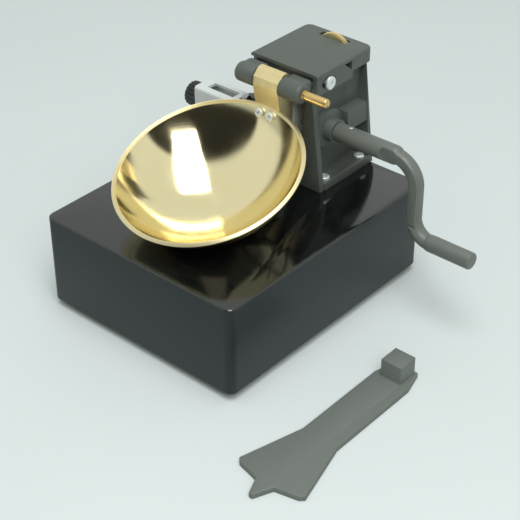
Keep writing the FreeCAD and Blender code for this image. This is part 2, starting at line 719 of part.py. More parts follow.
def hanger():
    rim = rear_rim(BOWL_R) - V(MECH_X, PIVOT_Y, PIVOT_Z)
    lip = rim.y - HANGER_LIP
    toe_front = HANGER_REAR - HANGER_TOE_T
    points = [pivot_point(-HANGER_NOSE, HANGER_TOP), pivot_point(lip, rim.z), pivot_point(lip, rim.z - HANGER_LIP),
              pivot_point(rim.y - HANGER_SEAT_IN, rim.z - HANGER_SEAT_L),
              pivot_point(toe_front, HANGER_TOE_L - HANGER_LOW), pivot_point(toe_front, -HANGER_LOW),
              pivot_point(HANGER_REAR, -HANGER_LOW), pivot_point(HANGER_REAR, -HANGER_SHOULDER),
              pivot_point(HANGER_CROWN, HANGER_TOP)]
    body = prism(points, RIGHT * HANGER_W)
    nose = edge_near(body, pivot_point(-HANGER_NOSE, HANGER_TOP) + RIGHT * (HANGER_W / 2))
    body = body.makeFillet(HANGER_NOSE_R, [nose])
    body = body.cut(bowl_room())
    body = body.cut(rod(2 * BORE_R, pivot_point(0, 0), RIGHT, HANGER_W))
    for seat, axis in bowl_screw_seats():
        body = body.cut(rod(BOWL_SCREW_D, seat, -axis, BOWL_SCREW_L))
    body = body.cut(follower_blank()).cut(follower_screw())
    return body.cut(trip_pin()).removeSplitter()


def follower_blank():
    """Hardened pad let into the toe, flush with the hanger's rear face."""
    rear = PIVOT_Y + HANGER_REAR
    return box(MECH_X - FOLLOWER_W / 2, MECH_X + FOLLOWER_W / 2, rear - FOLLOWER_T, rear,
               CAM_Z - FOLLOWER_H / 2, CAM_Z + FOLLOWER_H / 2)


def follower_screw():
    seat = V(MECH_X, PIVOT_Y + HANGER_REAR, CAM_Z + FOLLOWER_H / 2 - FOLLOWER_SCREW_DOWN)
    return rod(FOLLOWER_SCREW_D, seat, -BACK, HANGER_TOE_T - FOLLOWER_T)


def trip_pin():
    start = V(MECH_X - HANGER_W / 2 + TRIP_PIN_IN, PIVOT_Y + TRIP_PIN_BACK, PIVOT_Z - TRIP_PIN_LOW)
    return rod(TRIP_PIN_D, start, -RIGHT, TRIP_PIN_L)


def pivot_pin():
    left = MECH_X - PIN_LEFT
    right = MECH_X + BARREL_RIGHT + PIN_OUT
    pin = rod(PIN_D, V(left, PIVOT_Y, PIVOT_Z), RIGHT, right - left)
    pin = pin.makeChamfer(PIN_NOSE, edges_at(pin, RIGHT, right) + edges_at(pin, RIGHT, left))
    neck = pipe(2 * PIN_D, PIN_NECK_D, V(MECH_X + BARREL_RIGHT + GAP, PIVOT_Y, PIVOT_Z), RIGHT, PIN_NECK_W)
    return pin.cut(neck)


# Camshaft in two bushes, with the snail cam between them
def turn_about_x(y, z, degrees):
    """A (y, z) vector turned the way the crank turns: the top goes back."""
    a = math.radians(degrees)
    return (y * math.cos(a) + z * math.sin(a), z * math.cos(a) - y * math.sin(a))


def lift_angle():
    """Bowl angle that raises its lowest point by the drop height."""
    low = BOWL_R - PIVOT_H
    angle = 0.0
    for _ in range(20):
        angle = math.asin((DROP - low * (math.cos(angle) - 1)) / BOWL_R)
    return math.degrees(angle)


def cam_outline():
    """Envelope that keeps the follower's flat face clear at every crank angle."""
    full = lift_angle()
    steps = 2 * CAM_ARCS
    points = []
    for step in range(steps + 1):
        turn = CAM_TURN * step / steps
        normal = turn_about_x(1, 0, full * step / steps)
        reach = CAM_BACK * normal[0] - CAM_LOW * normal[1] - HANGER_REAR - CAM_CLEAR - CAM_BACK_ADJUST
        points.append((reach, turn_about_x(-normal[0], -normal[1], -turn)))
    rate = (points[-1][0] - points[0][0]) / math.radians(CAM_TURN - full)
    outline = []
    for reach, (y, z) in points:
        outline.append(V(0, reach * y - rate * z, reach * z + rate * y))
    return outline


def cam():
    outline = cam_outline()
    edges = []
    for first in range(0, 2 * CAM_ARCS, 2):
        edges.append(Part.Arc(*outline[first:first + 3]).toShape())
    edges.append(Part.Arc(outline[-1], hollow_point(outline[0], outline[-1]), outline[0]).toShape())
    disc = Part.Face(Part.Wire(edges)).extrude(RIGHT * CAM_T)
    disc.translate(V(MECH_X - CAM_T / 2, CAM_Y, CAM_Z))
    hub_left = V(MECH_X - CAM_T / 2 - CAM_HUB_L, CAM_Y, CAM_Z)
    body = disc.fuse(rod(CAM_HUB_D, hub_left, RIGHT, CAM_HUB_L))
    body = body.cut(rod(SHAFT_D, hub_left, RIGHT, CAM_HUB_L + CAM_T))
    return body.cut(cam_grub()).removeSplitter()


def hollow_point(start, tip):
    """Middle of the drop flank, set in from the straight line between its ends."""
    middle = (start + tip) * 0.5
    inward = V(0, 0, 0) - middle
    return middle + inward * (CAM_FLANK_DEPTH / inward.Length)


def cam_grub():
    start = V(MECH_X - CAM_T / 2 - CAM_HUB_L / 2, CAM_Y, CAM_Z + SHAFT_D / 2)
    return rod(GRUB_D, start, UP, (CAM_HUB_D - SHAFT_D) / 2 - GRUB_SUNK)


def camshaft():
    left = clip_place().x - SHAFT_STUB
    right = MECH_X + BOSS_NOSE_HALF
    shaft = rod(SHAFT_D, V(left, CAM_Y, CAM_Z), RIGHT, right - left)
    shaft = shaft.fuse(rod(SHAFT_END_D, V(right, CAM_Y, CAM_Z), RIGHT, SHAFT_END_L))
    shaft = shaft.cut(pipe(2 * SHAFT_D, CLIP_GROOVE_D, clip_place(), RIGHT, CLIP_T))
    return shaft.cut(crank_pin()).removeSplitter()


def clip_place():
    return V(MECH_X - BOSS_NOSE_HALF - CLIP_T - CLIP_GAP, CAM_Y, CAM_Z)


def shaft_clip():
    clip = pipe(CLIP_D, CLIP_GROOVE_D, clip_place(), RIGHT, CLIP_T)
    mouth = CLIP_MOUTH / 2
    return clip.cut(box(-BASE_W, BASE_W, CAM_Y - mouth, CAM_Y + mouth, CAM_Z - CLIP_D, CAM_Z))


def shaft_bush():
    start = V(MECH_X + BOSS_INNER_HALF, CAM_Y, CAM_Z)
    return pipe(BUSH_OD, SHAFT_D + 2 * FIT, start, RIGHT, BOSS_HALF - BOSS_INNER_HALF)


# Crank: round hub, a flat fronted arm bent down past the block, and a round grip
def crank_start():
    return MECH_X + BOSS_NOSE_HALF + CRANK_HUB_GAP


def arm_section(centre, outward):
    """Section of the arm with round front and back, across the arm's centre line."""
    half = outward * (ARM_T / 2)
    flat = BACK * ((ARM_W - ARM_T) / 2)
    bulge = BACK * (ARM_W / 2)
    corners = [centre - flat + half, centre + flat + half, centre + flat - half, centre - flat - half]
    edges = [Part.LineSegment(corners[0], corners[1]).toShape(),
             Part.Arc(corners[1], centre + bulge, corners[2]).toShape(),
             Part.LineSegment(corners[2], corners[3]).toShape(),
             Part.Arc(corners[3], centre - bulge, corners[0]).toShape()]
    return Part.Face(Part.Wire(edges))


def crank_arm(hub_end, grip_start):
    """Two bends and the straight arm between them, in the XZ plane through the shaft axis."""
    upper = V(CRANK_ARM_X, CAM_Y, hub_end.z - CRANK_BEND_TOP)
    lower = V(CRANK_ARM_X, CAM_Y, grip_start.z + CRANK_BEND_LOW)
    top_bend = arm_section(hub_end, UP).revolve(hub_end - UP * CRANK_BEND_TOP, BACK, 90)
    straight = arm_section(upper, RIGHT).extrude(lower - upper)
    low_bend = arm_section(lower, RIGHT).revolve(grip_start + UP * CRANK_BEND_LOW, -BACK, 90)
    return top_bend.fuse(straight).fuse(low_bend)


def crank_handle():
    hub_end = V(CRANK_ARM_X - CRANK_BEND_TOP, CAM_Y, CAM_Z)
    grip_start = V(CRANK_ARM_X + CRANK_BEND_LOW, CAM_Y, CAM_Z - CRANK_R)
    start = V(crank_start(), CAM_Y, CAM_Z)
    hub = rod(CRANK_HUB_D, start, RIGHT, hub_end.x - start.x)
    hub = hub.fuse(round_end(CRANK_HUB_D, hub_end, RIGHT))
    grip = rod(CRANK_GRIP_D, grip_start, RIGHT, CRANK_END_X - grip_start.x)
    grip = grip.makeFillet(CRANK_GRIP_R, edges_at(grip, RIGHT, CRANK_END_X))
    grip = grip.fuse(round_end(CRANK_GRIP_D, grip_start, -RIGHT))
    body = crank_arm(hub_end, grip_start).fuse(hub).fuse(grip)
    body = body.cut(arm_front_flat(hub_end, grip_start))
    body = body.cut(rod(SHAFT_END_D, start, RIGHT, SHAFT_END_L))
    return body.cut(crank_pin()).removeSplitter()


def round_end(d, centre, direction):
    """Half ball that closes a rod's end."""
    return Part.makeSphere(d / 2, centre, direction, 0, 90, 360)


def arm_front_flat(hub_end, grip_start):
    """Tool that takes the arm's front down to a flat, with a round end on the hub."""
    front = CAM_Y - ARM_FLAT
    depth = CRANK_HUB_D
    top_end = rod(2 * ARM_FLAT_R, V(hub_end.x, front - depth, hub_end.z), BACK, depth)
    upper = box(hub_end.x, CRANK_ARM_X + 2 * ARM_T, front - depth, front, hub_end.z - ARM_FLAT_R, hub_end.z + ARM_FLAT_R)
    lower = box(CRANK_ARM_X - 2 * ARM_T, CRANK_ARM_X + 2 * ARM_T, front - depth, front,
                grip_start.z + ARM_FLAT_R, hub_end.z)
    return top_end.fuse(upper).fuse(lower)


def crank_pin():
    place = V(crank_start() + CRANK_PIN_X, CAM_Y, CAM_Z - CRANK_HUB_D / 2)
    return rod(CRANK_PIN_D, place, UP, CRANK_HUB_D)


# Stroke counter: case, five digit wheels on a spindle, reset knob, bracket and trip lever
def counter_case():
    left = COUNTER_RIGHT - COUNTER_L
    rear = COUNTER_FRONT_Y + COUNTER_W
    low = COUNTER_TOP_Z - COUNTER_H
    case = box(left, COUNTER_RIGHT, COUNTER_FRONT_Y, rear, low, COUNTER_TOP_Z)
    case = case.makeFillet(COUNTER_R, steep_edges(case, RIGHT))
    inside = box(left + COUNTER_WALL, COUNTER_RIGHT - COUNTER_END_T, COUNTER_FRONT_Y + COUNTER_WALL,
                 rear - COUNTER_WALL, low + COUNTER_WALL, COUNTER_TOP_Z - COUNTER_WALL)
    case = case.cut(inside).cut(counter_window())
    case = case.cut(rod(SPINDLE_D + 2 * FIT, V(left, COUNTER_Y, COUNTER_Z), RIGHT, COUNTER_L))
    case = case.cut(rod(LEVER_SHAFT_D + 2 * FIT, V(COUNTER_RIGHT - LEVER_SHAFT_IN, COUNTER_Y, COUNTER_Z),
                        RIGHT, LEVER_SHAFT_IN))
    for seat in bracket_screw_seats()[2:]:
        case = case.cut(rod(BRACKET_SCREW_D, seat, -RIGHT, BRACKET_SCREW_L))
    return case


def first_digit_x():
    middle = COUNTER_RIGHT - COUNTER_L / 2 + COUNTER_WINDOW_OFF
    return middle - DIGIT_PITCH * (DIGIT_WHEELS - 1) / 2


def counter_window():
    middle = first_digit_x() + DIGIT_PITCH * (DIGIT_WHEELS - 1) / 2
    half = COUNTER_WINDOW_L / 2
    wide = COUNTER_WINDOW_W / 2
    return box(middle - half, middle + half, COUNTER_Y - wide, COUNTER_Y + wide, COUNTER_Z, COUNTER_TOP_Z + 1)


def digit_wheel(number):
    centre = first_digit_x() + DIGIT_PITCH * (DIGIT_WHEELS - number)
    start = V(centre - DIGIT_W / 2, COUNTER_Y, COUNTER_Z)
    return pipe(DIGIT_D, SPINDLE_D + 2 * FIT, start, RIGHT, DIGIT_W)


def counter_spindle():
    left = COUNTER_RIGHT - COUNTER_L - KNOB_GAP - KNOB_L + KNOB_END_T
    right = COUNTER_RIGHT - LEVER_SHAFT_IN - GAP
    return rod(SPINDLE_D, V(left, COUNTER_Y, COUNTER_Z), RIGHT, right - left)


def reset_knob():
    start = V(COUNTER_RIGHT - COUNTER_L - KNOB_GAP - KNOB_L, COUNTER_Y, COUNTER_Z)
    points = []
    for step in range(2 * KNOB_FLUTES):
        angle = math.pi * step / KNOB_FLUTES
        radius = KNOB_D / 2 - KNOB_FLUTE_DEPTH * (step % 2)
        points.append(start + V(0, math.cos(angle), math.sin(angle)) * radius)
    knob = prism(points, RIGHT * KNOB_L)
    return knob.cut(rod(SPINDLE_D, start + RIGHT * KNOB_END_T, RIGHT, KNOB_L))


def counter_bracket():
    low = COUNTER_TOP_Z - COUNTER_H - BRACKET_LOW
    rear = COUNTER_FRONT_Y + COUNTER_W
    plate = box(COUNTER_RIGHT, COUNTER_RIGHT + BRACKET_T, COUNTER_FRONT_Y, rear, low, COUNTER_TOP_Z)
    below = COUNTER_TOP_Z - COUNTER_H
    plate = plate.cut(box(COUNTER_RIGHT, COUNTER_RIGHT + BRACKET_T, COUNTER_FRONT_Y, TOWER_FRONT_Y, low, below))
    plate = plate.cut(rod(LEVER_SHAFT_D + 2 * LEVER_BORE_GAP, V(COUNTER_RIGHT, COUNTER_Y, COUNTER_Z), RIGHT, BRACKET_T))
    for seat in bracket_screw_seats():
        plate = plate.cut(rod(BRACKET_SCREW_D, V(COUNTER_RIGHT, seat.y, seat.z), RIGHT, BRACKET_T))
    return plate


def bracket_screw_seats():
    """Two screws into the tower rim from the left, two into the counter from the right."""
    rim_y = TOWER_FRONT_Y + BRACKET_SCREW_BACK
    high = COUNTER_TOP_Z - COUNTER_H - BRACKET_SCREW_DOWN
    case_x = COUNTER_RIGHT + BRACKET_T
    case_y = COUNTER_FRONT_Y + CASE_SCREW_BACK
    return [V(COUNTER_RIGHT, rim_y, high), V(COUNTER_RIGHT, rim_y, high - BRACKET_SCREW_PITCH),
            V(case_x, case_y, COUNTER_Z - CASE_SCREW_HALF), V(case_x, case_y, COUNTER_Z + CASE_SCREW_HALF)]


def bracket_screws():
    seats = bracket_screw_seats()
    size = (BRACKET_SCREW_D, BRACKET_SCREW_HEAD_D)
    left = [pan_screw(seat, -RIGHT, *size, BRACKET_SCREW_L) for seat in seats[:2]]
    right = [pan_screw(seat, RIGHT, *size, BRACKET_T + COUNTER_WALL) for seat in seats[2:]]
    return left + right


def trip_lever():
    hub_x = COUNTER_RIGHT + BRACKET_T + LEVER_GAP
    centre = V(hub_x, COUNTER_Y, COUNTER_Z)
    angle = math.radians(LEVER_ANGLE)
    tip = centre + V(0, -math.sin(angle), math.cos(angle)) * (LEVER_L - LEVER_W / 2)
    arm = slot_bar(LEVER_W, LEVER_T, centre, tip)
    arm = arm.fuse(rod(LEVER_HUB_D, centre, RIGHT, LEVER_T))
    shaft_left = COUNTER_RIGHT - LEVER_SHAFT_IN + FIT
    shaft_right = hub_x + LEVER_T + LEVER_END
    shaft = rod(LEVER_SHAFT_D, V(shaft_left, COUNTER_Y, COUNTER_Z), RIGHT, shaft_right - shaft_left)
    return arm.fuse(shaft).removeSplitter()


# Grooving tool: flat plate with a tooth between two wings, and the gauge block at its far end
def grooving_tool():
    def at(x, y):
        return V(TOOL_X + x, TOOL_TIP_Y + y, 0)

    half = [(TOOL_TIP_W / 2, 0), (TOOL_TOOTH_W / 2, TOOL_TOOTH_L), (TOOL_WING_W / 2 - TOOL_WING_CUT, TOOL_WING_Y),
            (TOOL_WING_W / 2, TOOL_WING_Y + TOOL_WING_CUT), (TOOL_HANDLE_W / 2, TOOL_WAIST_Y),
            (TOOL_HANDLE_W / 2, TOOL_SHOULDER_Y), (TOOL_END_W / 2, TOOL_L)]
    points = [at(x, y) for x, y in half] + [at(-x, y) for x, y in reversed(half)]
    plate = prism(points, UP * TOOL_T)
    plate = plate.makeChamfer(TOOL_EDGE, edges_at(plate, UP, TOOL_T))
    low_y = TOOL_TIP_Y + GAUGE_FROM_TIP
    block = box(TOOL_X - GAUGE_SIDE / 2, TOOL_X + GAUGE_SIDE / 2, low_y, low_y + GAUGE_SIDE,
                TOOL_T, TOOL_T + GAUGE)
    return plate.fuse(block).removeSplitter()


save("base_block", base_block())
save("rubber_feet", *[rubber_foot(centre) for centre in foot_centres()])
save("foot_screws", *[foot_screw(centre) for centre in foot_centres()])
save("tower_housing", tower_housing())
save("tower_screws", *[pan_screw(seat, UP, TOWER_SCREW_D, TOWER_SCREW_HEAD_D, TOWER_SCREW_L)
                       for seat in tower_screw_seats()])
save("shaft_bush_right", both_sides(shaft_bush())[0])
save("shaft_bush_left", both_sides(shaft_bush())[1])
save("camshaft", camshaft())
save("cam", cam())
save("cam_grub_screw", cam_grub())
save("shaft_clip", shaft_clip())
save("crank_handle", crank_handle())
save("crank_pin", crank_pin())
save("carriage", carriage())
save("clamp_screws", *both_sides(clamp_screw()))
save("adjusting_screw", adjusting_screw())
save("screw_collar", screw_collar())
save("thumbwheel", thumbwheel())
save("pivot_pin", pivot_pin())
save("bowl", bowl())
save("bowl_screws", *[pan_screw(seat, axis, BOWL_SCREW_D, BOWL_SCREW_HEAD_D, BOWL_SCREW_L)
                      for seat, axis in bowl_screw_seats()])
save("hanger", hanger())
save("cam_follower", follower_blank().cut(follower_screw()))
save("follower_screw", follower_screw())
save("trip_pin", trip_pin())
save("counter_case", counter_case())
save("counter_bracket", counter_bracket())
save("bracket_screws", *bracket_screws())
save("counter_spindle", counter_spindle())
save("reset_knob", reset_knob())
save("trip_lever", trip_lever())
for wheel_number in range(1, DIGIT_WHEELS + 1):
    save("digit_wheel_" + str(wheel_number), digit_wheel(wheel_number))
save("grooving_tool", grooving_tool())
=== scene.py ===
import math

import bpy
from mathutils import Matrix, Vector


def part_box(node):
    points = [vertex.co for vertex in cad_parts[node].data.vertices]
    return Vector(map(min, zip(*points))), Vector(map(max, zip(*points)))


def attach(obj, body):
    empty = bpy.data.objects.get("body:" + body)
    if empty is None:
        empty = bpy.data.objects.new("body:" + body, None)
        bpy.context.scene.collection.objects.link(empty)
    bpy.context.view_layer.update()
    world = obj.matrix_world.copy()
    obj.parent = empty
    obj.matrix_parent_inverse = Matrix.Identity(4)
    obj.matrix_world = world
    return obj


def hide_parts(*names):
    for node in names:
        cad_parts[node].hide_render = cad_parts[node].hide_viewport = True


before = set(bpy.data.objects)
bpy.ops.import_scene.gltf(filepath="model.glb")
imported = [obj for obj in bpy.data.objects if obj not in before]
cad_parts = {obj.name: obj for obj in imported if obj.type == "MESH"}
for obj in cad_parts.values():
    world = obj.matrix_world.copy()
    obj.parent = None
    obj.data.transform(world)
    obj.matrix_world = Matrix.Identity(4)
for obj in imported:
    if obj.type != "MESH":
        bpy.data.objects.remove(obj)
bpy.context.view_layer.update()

MM = 0.001


# Camera: stands where the photograph was taken from, in front of the crank's corner and looking
# down at the bowl. It comes first, because all that follows is judged through it.
CAMERA_TARGET = Vector((10.963, -14.494, 54.0)) * MM
CAMERA_DISTANCE = 668.196 * MM
CAMERA_AZIMUTH = math.radians(41.097)
CAMERA_HEIGHT = math.radians(34.586)
CAMERA_ROLL = math.radians(-0.211)
LENS_LENGTH = 96.46
SENSOR_WIDTH = 36.0
back = Vector((math.sin(CAMERA_AZIMUTH) * math.cos(CAMERA_HEIGHT),
               -math.cos(CAMERA_AZIMUTH) * math.cos(CAMERA_HEIGHT), math.sin(CAMERA_HEIGHT)))
level = Vector((math.cos(CAMERA_AZIMUTH), math.sin(CAMERA_AZIMUTH), 0))
upright = back.cross(level)
right = level * math.cos(CAMERA_ROLL) + upright * math.sin(CAMERA_ROLL)
above = upright * math.cos(CAMERA_ROLL) - level * math.sin(CAMERA_ROLL)
lens = bpy.data.cameras.new("camera")
lens.lens = LENS_LENGTH
lens.sensor_width = SENSOR_WIDTH
lens.clip_start = 0.05
camera = bpy.data.objects.new("camera", lens)
bpy.context.scene.collection.objects.link(camera)
camera.matrix_world = Matrix.Translation(CAMERA_TARGET + back * CAMERA_DISTANCE) @ Matrix(
    (right, above, back)).transposed().to_4x4()
bpy.context.scene.camera = camera


# Bench top: a wide sheet of pale grey laminate that the block and the loose tool stand on.
# It is only the stage, laid flat and plain, and it keeps the soft shadow of the device.
def srgb(code):
    """Linear colour of an sRGB hex value."""
    parts = [int(code[i:i + 2], 16) / 255 for i in (1, 3, 5)]
    return [p / 12.92 if p <= 0.04045 else ((p + 0.055) / 1.055) ** 2.4 for p in parts] + [1.0]


def add_node(tree, kind, settings=None, **links):
    """Adds a node; settings are input defaults or attributes, links are inputs with _ for a space."""
    node = tree.nodes.new(kind)
    for name, value in (settings or {}).items():
        if name in node.inputs:
            node.inputs[name].default_value = value
        else:
            setattr(node, name, value)
    for name, source in links.items():
        tree.links.new(source, node.inputs[name.replace("_", " ")])
    return node


def start_material(name):
    """An empty material, its tree, and the Object coordinates that its patterns are laid on."""
    material = bpy.data.materials.new(name)
    material.use_nodes = True
    tree = material.node_tree
    tree.nodes.clear()
    return material, tree, add_node(tree, "ShaderNodeTexCoord").outputs["Object"]


def close_material(tree, shader):
    add_node(tree, "ShaderNodeOutputMaterial", Surface=shader.outputs["BSDF"])


BENCH_SIZE = 6.0
BENCH_PAINTED_LIGHT_CLOUD = 260 * MM
# laminate: matt, with faint broad clouds of painted light and shade, as if the sheet were not quite evenly
# lit
bench_laminate, tree, here = start_material("bench_laminate")
painted_light_clouds = add_node(tree, "ShaderNodeTexNoise", {"Scale": 1 / BENCH_PAINTED_LIGHT_CLOUD, "Detail": 2.0}, Vector=here)
tint = add_node(tree, "ShaderNodeMix", {"data_type": "RGBA"}, Factor=painted_light_clouds.outputs["Fac"])
tint.inputs[6].default_value = srgb("#CBD4D3")
tint.inputs[7].default_value = srgb("#D2DAD9")
shader = add_node(tree, "ShaderNodeBsdfPrincipled", {"Roughness": 0.6}, Base_Color=tint.outputs[2])
close_material(tree, shader)
bpy.ops.object.select_all(action="DESELECT")
bpy.ops.mesh.primitive_plane_add(size=BENCH_SIZE, location=(0, 0, 0))
bench = bpy.context.object
bench.name = "bench_top"
bench.data.materials.append(bench_laminate)


# Light: a long soft lamp overhead and an even fill from the room. What is mirrored is a pale room
# that is dim low down on the camera's side, which gives the polished bowl its dark patch.
ROOM_BRIGHT = 0.9
ROOM_DIM = 0.03
ROOM_FILL = 0.45
BACKDROP = 0.84
DIM_TOWARD = (0.585, -0.807, 0.09)
DIM_FLATTEN = 1.3
DIM_EDGE = (0.42, 0.5)
room = bpy.data.worlds.new("room")
bpy.context.scene.world = room
room.use_nodes = True
tree = room.node_tree
tree.nodes.clear()
toward = add_node(tree, "ShaderNodeTexCoord").outputs["Generated"]
squeezed = add_node(tree, "ShaderNodeVectorMath", {"operation": "MULTIPLY"})
tree.links.new(toward, squeezed.inputs[0])
squeezed.inputs[1].default_value = (1.0, 1.0, DIM_FLATTEN)
unit = add_node(tree, "ShaderNodeVectorMath", {"operation": "NORMALIZE"})
tree.links.new(squeezed.outputs["Vector"], unit.inputs[0])
facing = add_node(tree, "ShaderNodeVectorMath", {"operation": "DOT_PRODUCT"})
tree.links.new(unit.outputs["Vector"], facing.inputs[0])
facing.inputs[1].default_value = DIM_TOWARD
gloom = add_node(tree, "ShaderNodeMapRange",
                 {"From Min": DIM_EDGE[0], "From Max": DIM_EDGE[1], "To Min": ROOM_BRIGHT,
                  "To Max": ROOM_DIM, "interpolation_type": "SMOOTHSTEP"},
                 Value=facing.outputs["Value"])
light_path = add_node(tree, "ShaderNodeLightPath")
mirrored = add_node(tree, "ShaderNodeMix", {"data_type": "FLOAT"},
                    Factor=light_path.outputs["Is Glossy Ray"])
mirrored.inputs[2].default_value = ROOM_FILL
tree.links.new(gloom.outputs["Result"], mirrored.inputs[3])
seen = add_node(tree, "ShaderNodeMix", {"data_type": "FLOAT"}, Factor=light_path.outputs["Is Camera Ray"])
tree.links.new(mirrored.outputs[0], seen.inputs[2])
seen.inputs[3].default_value = BACKDROP
sky = add_node(tree, "ShaderNodeBackground", {"Color": srgb("#EFF4F1")}, Strength=seen.outputs[0])
add_node(tree, "ShaderNodeOutputWorld", Surface=sky.outputs["Background"])
LAMP_PLACE = Vector((0.52, -0.38, 1.4))
LAMP_WIDTH = 0.8
LAMP_LENGTH = 2.0
LAMP_WATTS = 26.0
light = bpy.data.lights.new("lamp_overhead", "AREA")
light.shape = "RECTANGLE"
light.size = LAMP_WIDTH
light.size_y = LAMP_LENGTH
light.energy = LAMP_WATTS
lamp = bpy.data.objects.new("lamp_overhead", light)
bpy.context.scene.collection.objects.link(lamp)
lamp.location = LAMP_PLACE
lamp.rotation_euler = LAMP_PLACE.to_track_quat("Z", "Y").to_euler()


# Base block: a solid brick of black hard rubber, moulded, with its edges just broken. The top is
# polished and the sides are rubbed flat, and the tower stands on its back half.
SMOOTH_ANGLE = math.radians(38)
FLAT_ANGLE = math.radians(0.4)
WELD = 0.001 * MM


def select_only(piece):
    """Selects one piece alone and makes it the active one."""
    bpy.ops.object.select_all(action="DESELECT")
    piece.select_set(True)
    bpy.context.view_layer.objects.active = piece


def own_copy(node, name, edge=0.0):
    """Merged copy of a CAD node's mesh in its place, its sharp edges eased by up to a width in mm."""
    piece = bpy.data.objects.new(name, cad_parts[node].data.copy())
    bpy.context.scene.collection.objects.link(piece)
    select_only(piece)
    piece.data.materials.clear()
    bpy.ops.mesh.customdata_custom_splitnormals_clear()
    bpy.ops.object.mode_set(mode="EDIT")
    bpy.ops.mesh.select_all(action="SELECT")
    bpy.ops.mesh.remove_doubles(threshold=WELD)
    if edge:
        bpy.ops.mesh.dissolve_limited(angle_limit=FLAT_ANGLE)
    bpy.ops.object.mode_set(mode="OBJECT")
    if edge:
        ease_edges(piece, edge)
    bpy.ops.object.shade_smooth_by_angle(angle=SMOOTH_ANGLE)
    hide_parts(node)
    return piece


# On the tower, carriage, crank and shaft the bevel comes out too small to measure, most likely
# clamped by very short edges in their meshes, so their edges stay in effect sharp.
def ease_edges(piece, width, segments=2, angle=35.0):
    """Bevels a piece's sharp edges by up to a width in mm and applies the modifier."""
    select_only(piece)
    bpy.ops.object.modifier_add(type="BEVEL")
    bevel = piece.modifiers[-1]
    bevel.width = width * MM
    bevel.segments = segments
    bevel.limit_method = "ANGLE"
    bevel.angle_limit = math.radians(angle)
    bevel.harden_normals = False
    bpy.ops.object.modifier_apply(modifier=bevel.name)


def dress(piece, material, body):
    """Gives a piece its material and the body that it moves with."""
    piece.data.materials.clear()
    piece.data.materials.append(material)
    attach(piece, body)


block_low, block_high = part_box("base_block")
BLOCK_MIDDLE = (Vector(block_low) + Vector(block_high)) / 2
BLOCK_TOP = block_high[2]


def at(x, y, z):
    """A place in mm from the middle of the block's footprint, in metres in the shared frame."""
    return Vector((BLOCK_MIDDLE.x + x * MM, BLOCK_MIDDLE.y + y * MM, z * MM))


SCUFF = 2.2 * MM
SCUFF_STRETCH = 9.0
SPECK = 0.45 * MM
RIPPLE = 14 * MM
POLISH_FADE = (0.9 * MM, 0.3 * MM)
# hard rubber: near black, the polished top mirrors softly and wavers, with faint scuffs, while
# the rubbed sides are greyer, duller and finely specked
hard_rubber, tree, here = start_material("black_hard_rubber")
height = add_node(tree, "ShaderNodeSeparateXYZ", Vector=here)
polished = add_node(tree, "ShaderNodeMapRange",
                    {"From Min": BLOCK_TOP - POLISH_FADE[0], "From Max": BLOCK_TOP - POLISH_FADE[1]},
                    Value=height.outputs["Z"])
drawn = add_node(tree, "ShaderNodeMapping",
                 {"Scale": (1.0, SCUFF_STRETCH, 1.0), "Rotation": (0, 0, 0.5)}, Vector=here)
scuffs = add_node(tree, "ShaderNodeTexNoise",
                  {"Scale": 1 / (SCUFF * SCUFF_STRETCH), "Detail": 8.0, "Roughness": 0.7},
                  Vector=drawn.outputs["Vector"])
specks = add_node(tree, "ShaderNodeTexNoise", {"Scale": 1 / SPECK, "Detail": 3.0}, Vector=here)
side_tone = add_node(tree, "ShaderNodeMix", {"data_type": "RGBA"}, Factor=specks.outputs["Fac"])
side_tone.inputs[6].default_value = srgb("#14181A")
side_tone.inputs[7].default_value = srgb("#232A2B")
top_tone = add_node(tree, "ShaderNodeMix", {"data_type": "RGBA"}, Factor=scuffs.outputs["Fac"])
top_tone.inputs[6].default_value = srgb("#070809")
top_tone.inputs[7].default_value = srgb("#0F1112")
tone = add_node(tree, "ShaderNodeMix", {"data_type": "RGBA"}, Factor=polished.outputs["Result"])
tree.links.new(side_tone.outputs[2], tone.inputs[6])
tree.links.new(top_tone.outputs[2], tone.inputs[7])
top_rough = add_node(tree, "ShaderNodeMapRange",
                     {"From Min": 0.3, "From Max": 0.75, "To Min": 0.07, "To Max": 0.2},
                     Value=scuffs.outputs["Fac"])
rough = add_node(tree, "ShaderNodeMix", {"data_type": "FLOAT"}, Factor=polished.outputs["Result"])
rough.inputs[2].default_value = 0.36
tree.links.new(top_rough.outputs["Result"], rough.inputs[3])
ripple = add_node(tree, "ShaderNodeTexNoise", {"Scale": 1 / RIPPLE, "Detail": 1.0}, Vector=here)
wavy = add_node(tree, "ShaderNodeBump", {"Strength": 0.25, "Distance": 0.12 * MM},
                Height=ripple.outputs["Fac"])
grit = add_node(tree, "ShaderNodeBump", {"Strength": 0.22, "Distance": 0.03 * MM},
                Height=specks.outputs["Fac"], Normal=wavy.outputs["Normal"])
shine = add_node(tree, "ShaderNodeMapRange", {"To Min": 0.32, "To Max": 0.95},
                 Value=polished.outputs["Result"])
shader = add_node(tree, "ShaderNodeBsdfPrincipled", {"IOR": 1.5}, Base_Color=tone.outputs[2],
                  Roughness=rough.outputs[0], Normal=grit.outputs["Normal"])
tree.links.new(shine.outputs["Result"], shader.inputs["Specular IOR Level"])
close_material(tree, shader)
block = own_copy("base_block", "hard_rubber_block", 0.18)
dress(block, hard_rubber, "base")


